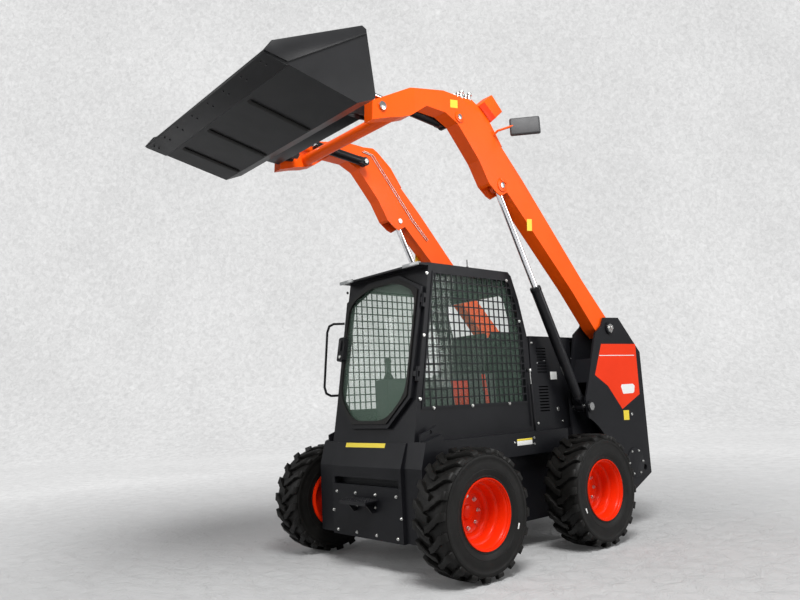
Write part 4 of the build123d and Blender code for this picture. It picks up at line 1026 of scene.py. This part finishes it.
# mirrors: moulded shells on bent stalks, turned a little towards the seat
MIRROR_X, MIRROR_Y, MIRROR_Z = 0.838, 0.364, 3.196
MIRROR_HALF, MIRROR_ROUND = Vector((0.116, 0.016, 0.074)), 0.014
MIRROR_TURN, MIRROR_NOD = radians(42), radians(-8)
STALK, STALK_RADIUS = ((0.660, 0.190, 3.140), (0.700, 0.205, 3.170), (0.790, 0.318, 3.212)), 0.009
for side_name, side in SIDES:
    shell = block("shell", -MIRROR_HALF, MIRROR_HALF, edge=0)
    modify(shell, "BEVEL", width=MIRROR_ROUND, segments=3, limit_method="ANGLE",
           angle_limit=BEVEL_FROM)
    shell.matrix_world = (Matrix.Translation((side * MIRROR_X, MIRROR_Y, MIRROR_Z))
                          @ Matrix.Rotation(side * MIRROR_TURN, 4, "Z")
                          @ Matrix.Rotation(MIRROR_NOD, 4, "X"))
    settle(shell)
    shell.name = f"mirror_shell_{side_name}"
    fit(smooth(shell, degrees=50), "boom", CAB_TRIM)
    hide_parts("mirrors")
    bends = [(side * x, y, z) for x, y, z in STALK]
    stalk = tube(f"mirror_stalk_{side_name}", bends, STALK_RADIUS, sides=16)
    fit(stalk, "boom", ARM_ORANGE)

# ---------------------------------------------------------------- cylinders
# Two lift and two tilt cylinders, with black painted barrels and hard chromed rods. Each lift
# barrel has a screwed gland collar at its mouth and a welded collar over its foot.
CHROME = paint("hard_chrome", (0.78, 0.78, 0.80), 0.10, vary=0.03, metallic=1.0, grain=600,
               depth=0.00003)
coat_nodes(PLATE_BLACK, "lift_barrels", "tilt_barrels")
coat_nodes(CHROME, "lift_rods", "tilt_rods")
LIFT_X = 0.605
LIFT_BASE = Vector((1.110, 1.030))
LIFT_RUN = (Vector(LIFT_EYE) - LIFT_BASE).normalized()
# a collar's start and end along the barrel, and its radius
COLLARS = ((1.040, 1.070, 0.0445), (0.070, 0.096, 0.0440))
for side_name, side in SIDES:
    collars = []
    for start, end, radius in COLLARS:
        low, high = ((side * LIFT_X, *(LIFT_BASE + LIFT_RUN * along)) for along in (start, end))
        collars.append(rod("collar", low, high, radius, sides=48, edge=0.002))
    collar_pair = join(f"barrel_collars_{side_name}", *collars)
    fit(collar_pair, "lift_barrel_pair", PLATE_BLACK)

# ---------------------------------------------------------------- bucket
# A welded shell of black enamelled plate, hooked on a coupler plate. A cutting edge is bolted under
# its lip, wear ribs and side strips are welded on, and the coupler turns on two capped pins.
BUCKET_BLACK = paint("worn_black_enamel", (0.0125, 0.0126, 0.0135), 0.36, vary=0.25, patch=1.8,
                     shine=0.30)
DARK_STEEL = paint("blackened_steel", (0.05, 0.05, 0.052), 0.35, vary=0.15, metallic=0.8, grain=300)
coat_nodes(BUCKET_BLACK, "bucket", "bucket_coupler")
LIP, HEEL = Vector((-1.936, 3.100)), Vector((-1.285, 2.956))
FLOOR_RUN = (HEEL - LIP).normalized()
FLOOR_DOWN = Vector((FLOOR_RUN.y, -FLOOR_RUN.x))
# sections under the floor, as (distance behind the lip, depth below the floor)
EDGE_SECTION = ((0.004, 0.0), (0.010, 0.007), (0.165, 0.007), (0.172, 0.0))
EDGE_HALF = 0.866
RIB_SECTION = ((0.200, 0.0), (0.215, 0.010), (0.648, 0.010), (0.660, 0.0))
RIB_X, RIB_HALF = (-0.640, -0.230, 0.340), 0.020
EDGE_BOLT, EDGE_BOLT_DEEP, EDGE_BOLT_ROWS = 0.0062, 0.006, (0.040, 0.078)
EDGE_BOLT_X = (0.775, 0.544, 0.314, 0.096, -0.136, -0.372, -0.592, -0.792)
STRIP_SIDE_X, STRIP_EDGE = (0.868, 0.876), 0.0015
STRIP = ((-1.930, 3.103), (-1.874, 3.178), (-1.228, 3.481), (-1.196, 3.466), (-1.196, 3.436),
         (-1.781, 3.078))
CAP, CAP_X, CAP_RADIUS = (-0.900, 3.118), (0.640, 0.654), 0.030
RAIL_HALF, RAIL_EDGE = 0.528, 0.003
RAIL = ((-1.146, 3.044), (-1.010, 3.034), (-0.998, 3.048), (-1.026, 3.100), (-1.150, 3.146))


def under_floor(distance, down):
    """The (y, z) point this far behind the lip along the bucket's floor and this far below it."""
    return tuple(LIP + FLOOR_RUN * distance + FLOOR_DOWN * down)


edge_outline = [under_floor(*spot) for spot in EDGE_SECTION]
edge_plate = plate("cutting_edge", edge_outline, -EDGE_HALF, EDGE_HALF, edge=0.001)
fit(edge_plate, "bucket_body", BUCKET_BLACK)
rib_outline = [under_floor(*spot) for spot in RIB_SECTION]
ribs = [plate("rib", rib_outline, x - RIB_HALF, x + RIB_HALF, edge=0.002) for x in RIB_X]
fit(join("wear_ribs", *ribs), "bucket_body", RUBBER)
downwards = (0, *FLOOR_DOWN)
spots = [((x, *under_floor(distance, EDGE_BOLT_DEEP)), downwards)
         for x in EDGE_BOLT_X for distance in EDGE_BOLT_ROWS]
bolts("edge_bolts", "bucket_body", EDGE_BOLT, spots, DARK_STEEL)
for side_name, side in SIDES:
    strip = plate(f"side_strip_{side_name}", STRIP, side * STRIP_SIDE_X[0], side * STRIP_SIDE_X[1],
                  STRIP_EDGE)
    fit(strip, "bucket_body", BUCKET_BLACK)
    cap = rod(f"bucket_pin_cap_{side_name}", (side * CAP_X[0], *CAP), (side * CAP_X[1], *CAP),
              CAP_RADIUS, sides=32, edge=0.002)
    fit(cap, "bucket_body", PIN_STEEL)
# the coupler's lower rail, a folded box along the bucket's foot
rail = plate("coupler_rail", RAIL, -RAIL_HALF, RAIL_HALF, RAIL_EDGE)
fit(rail, "bucket_body", PLATE_BLACK)
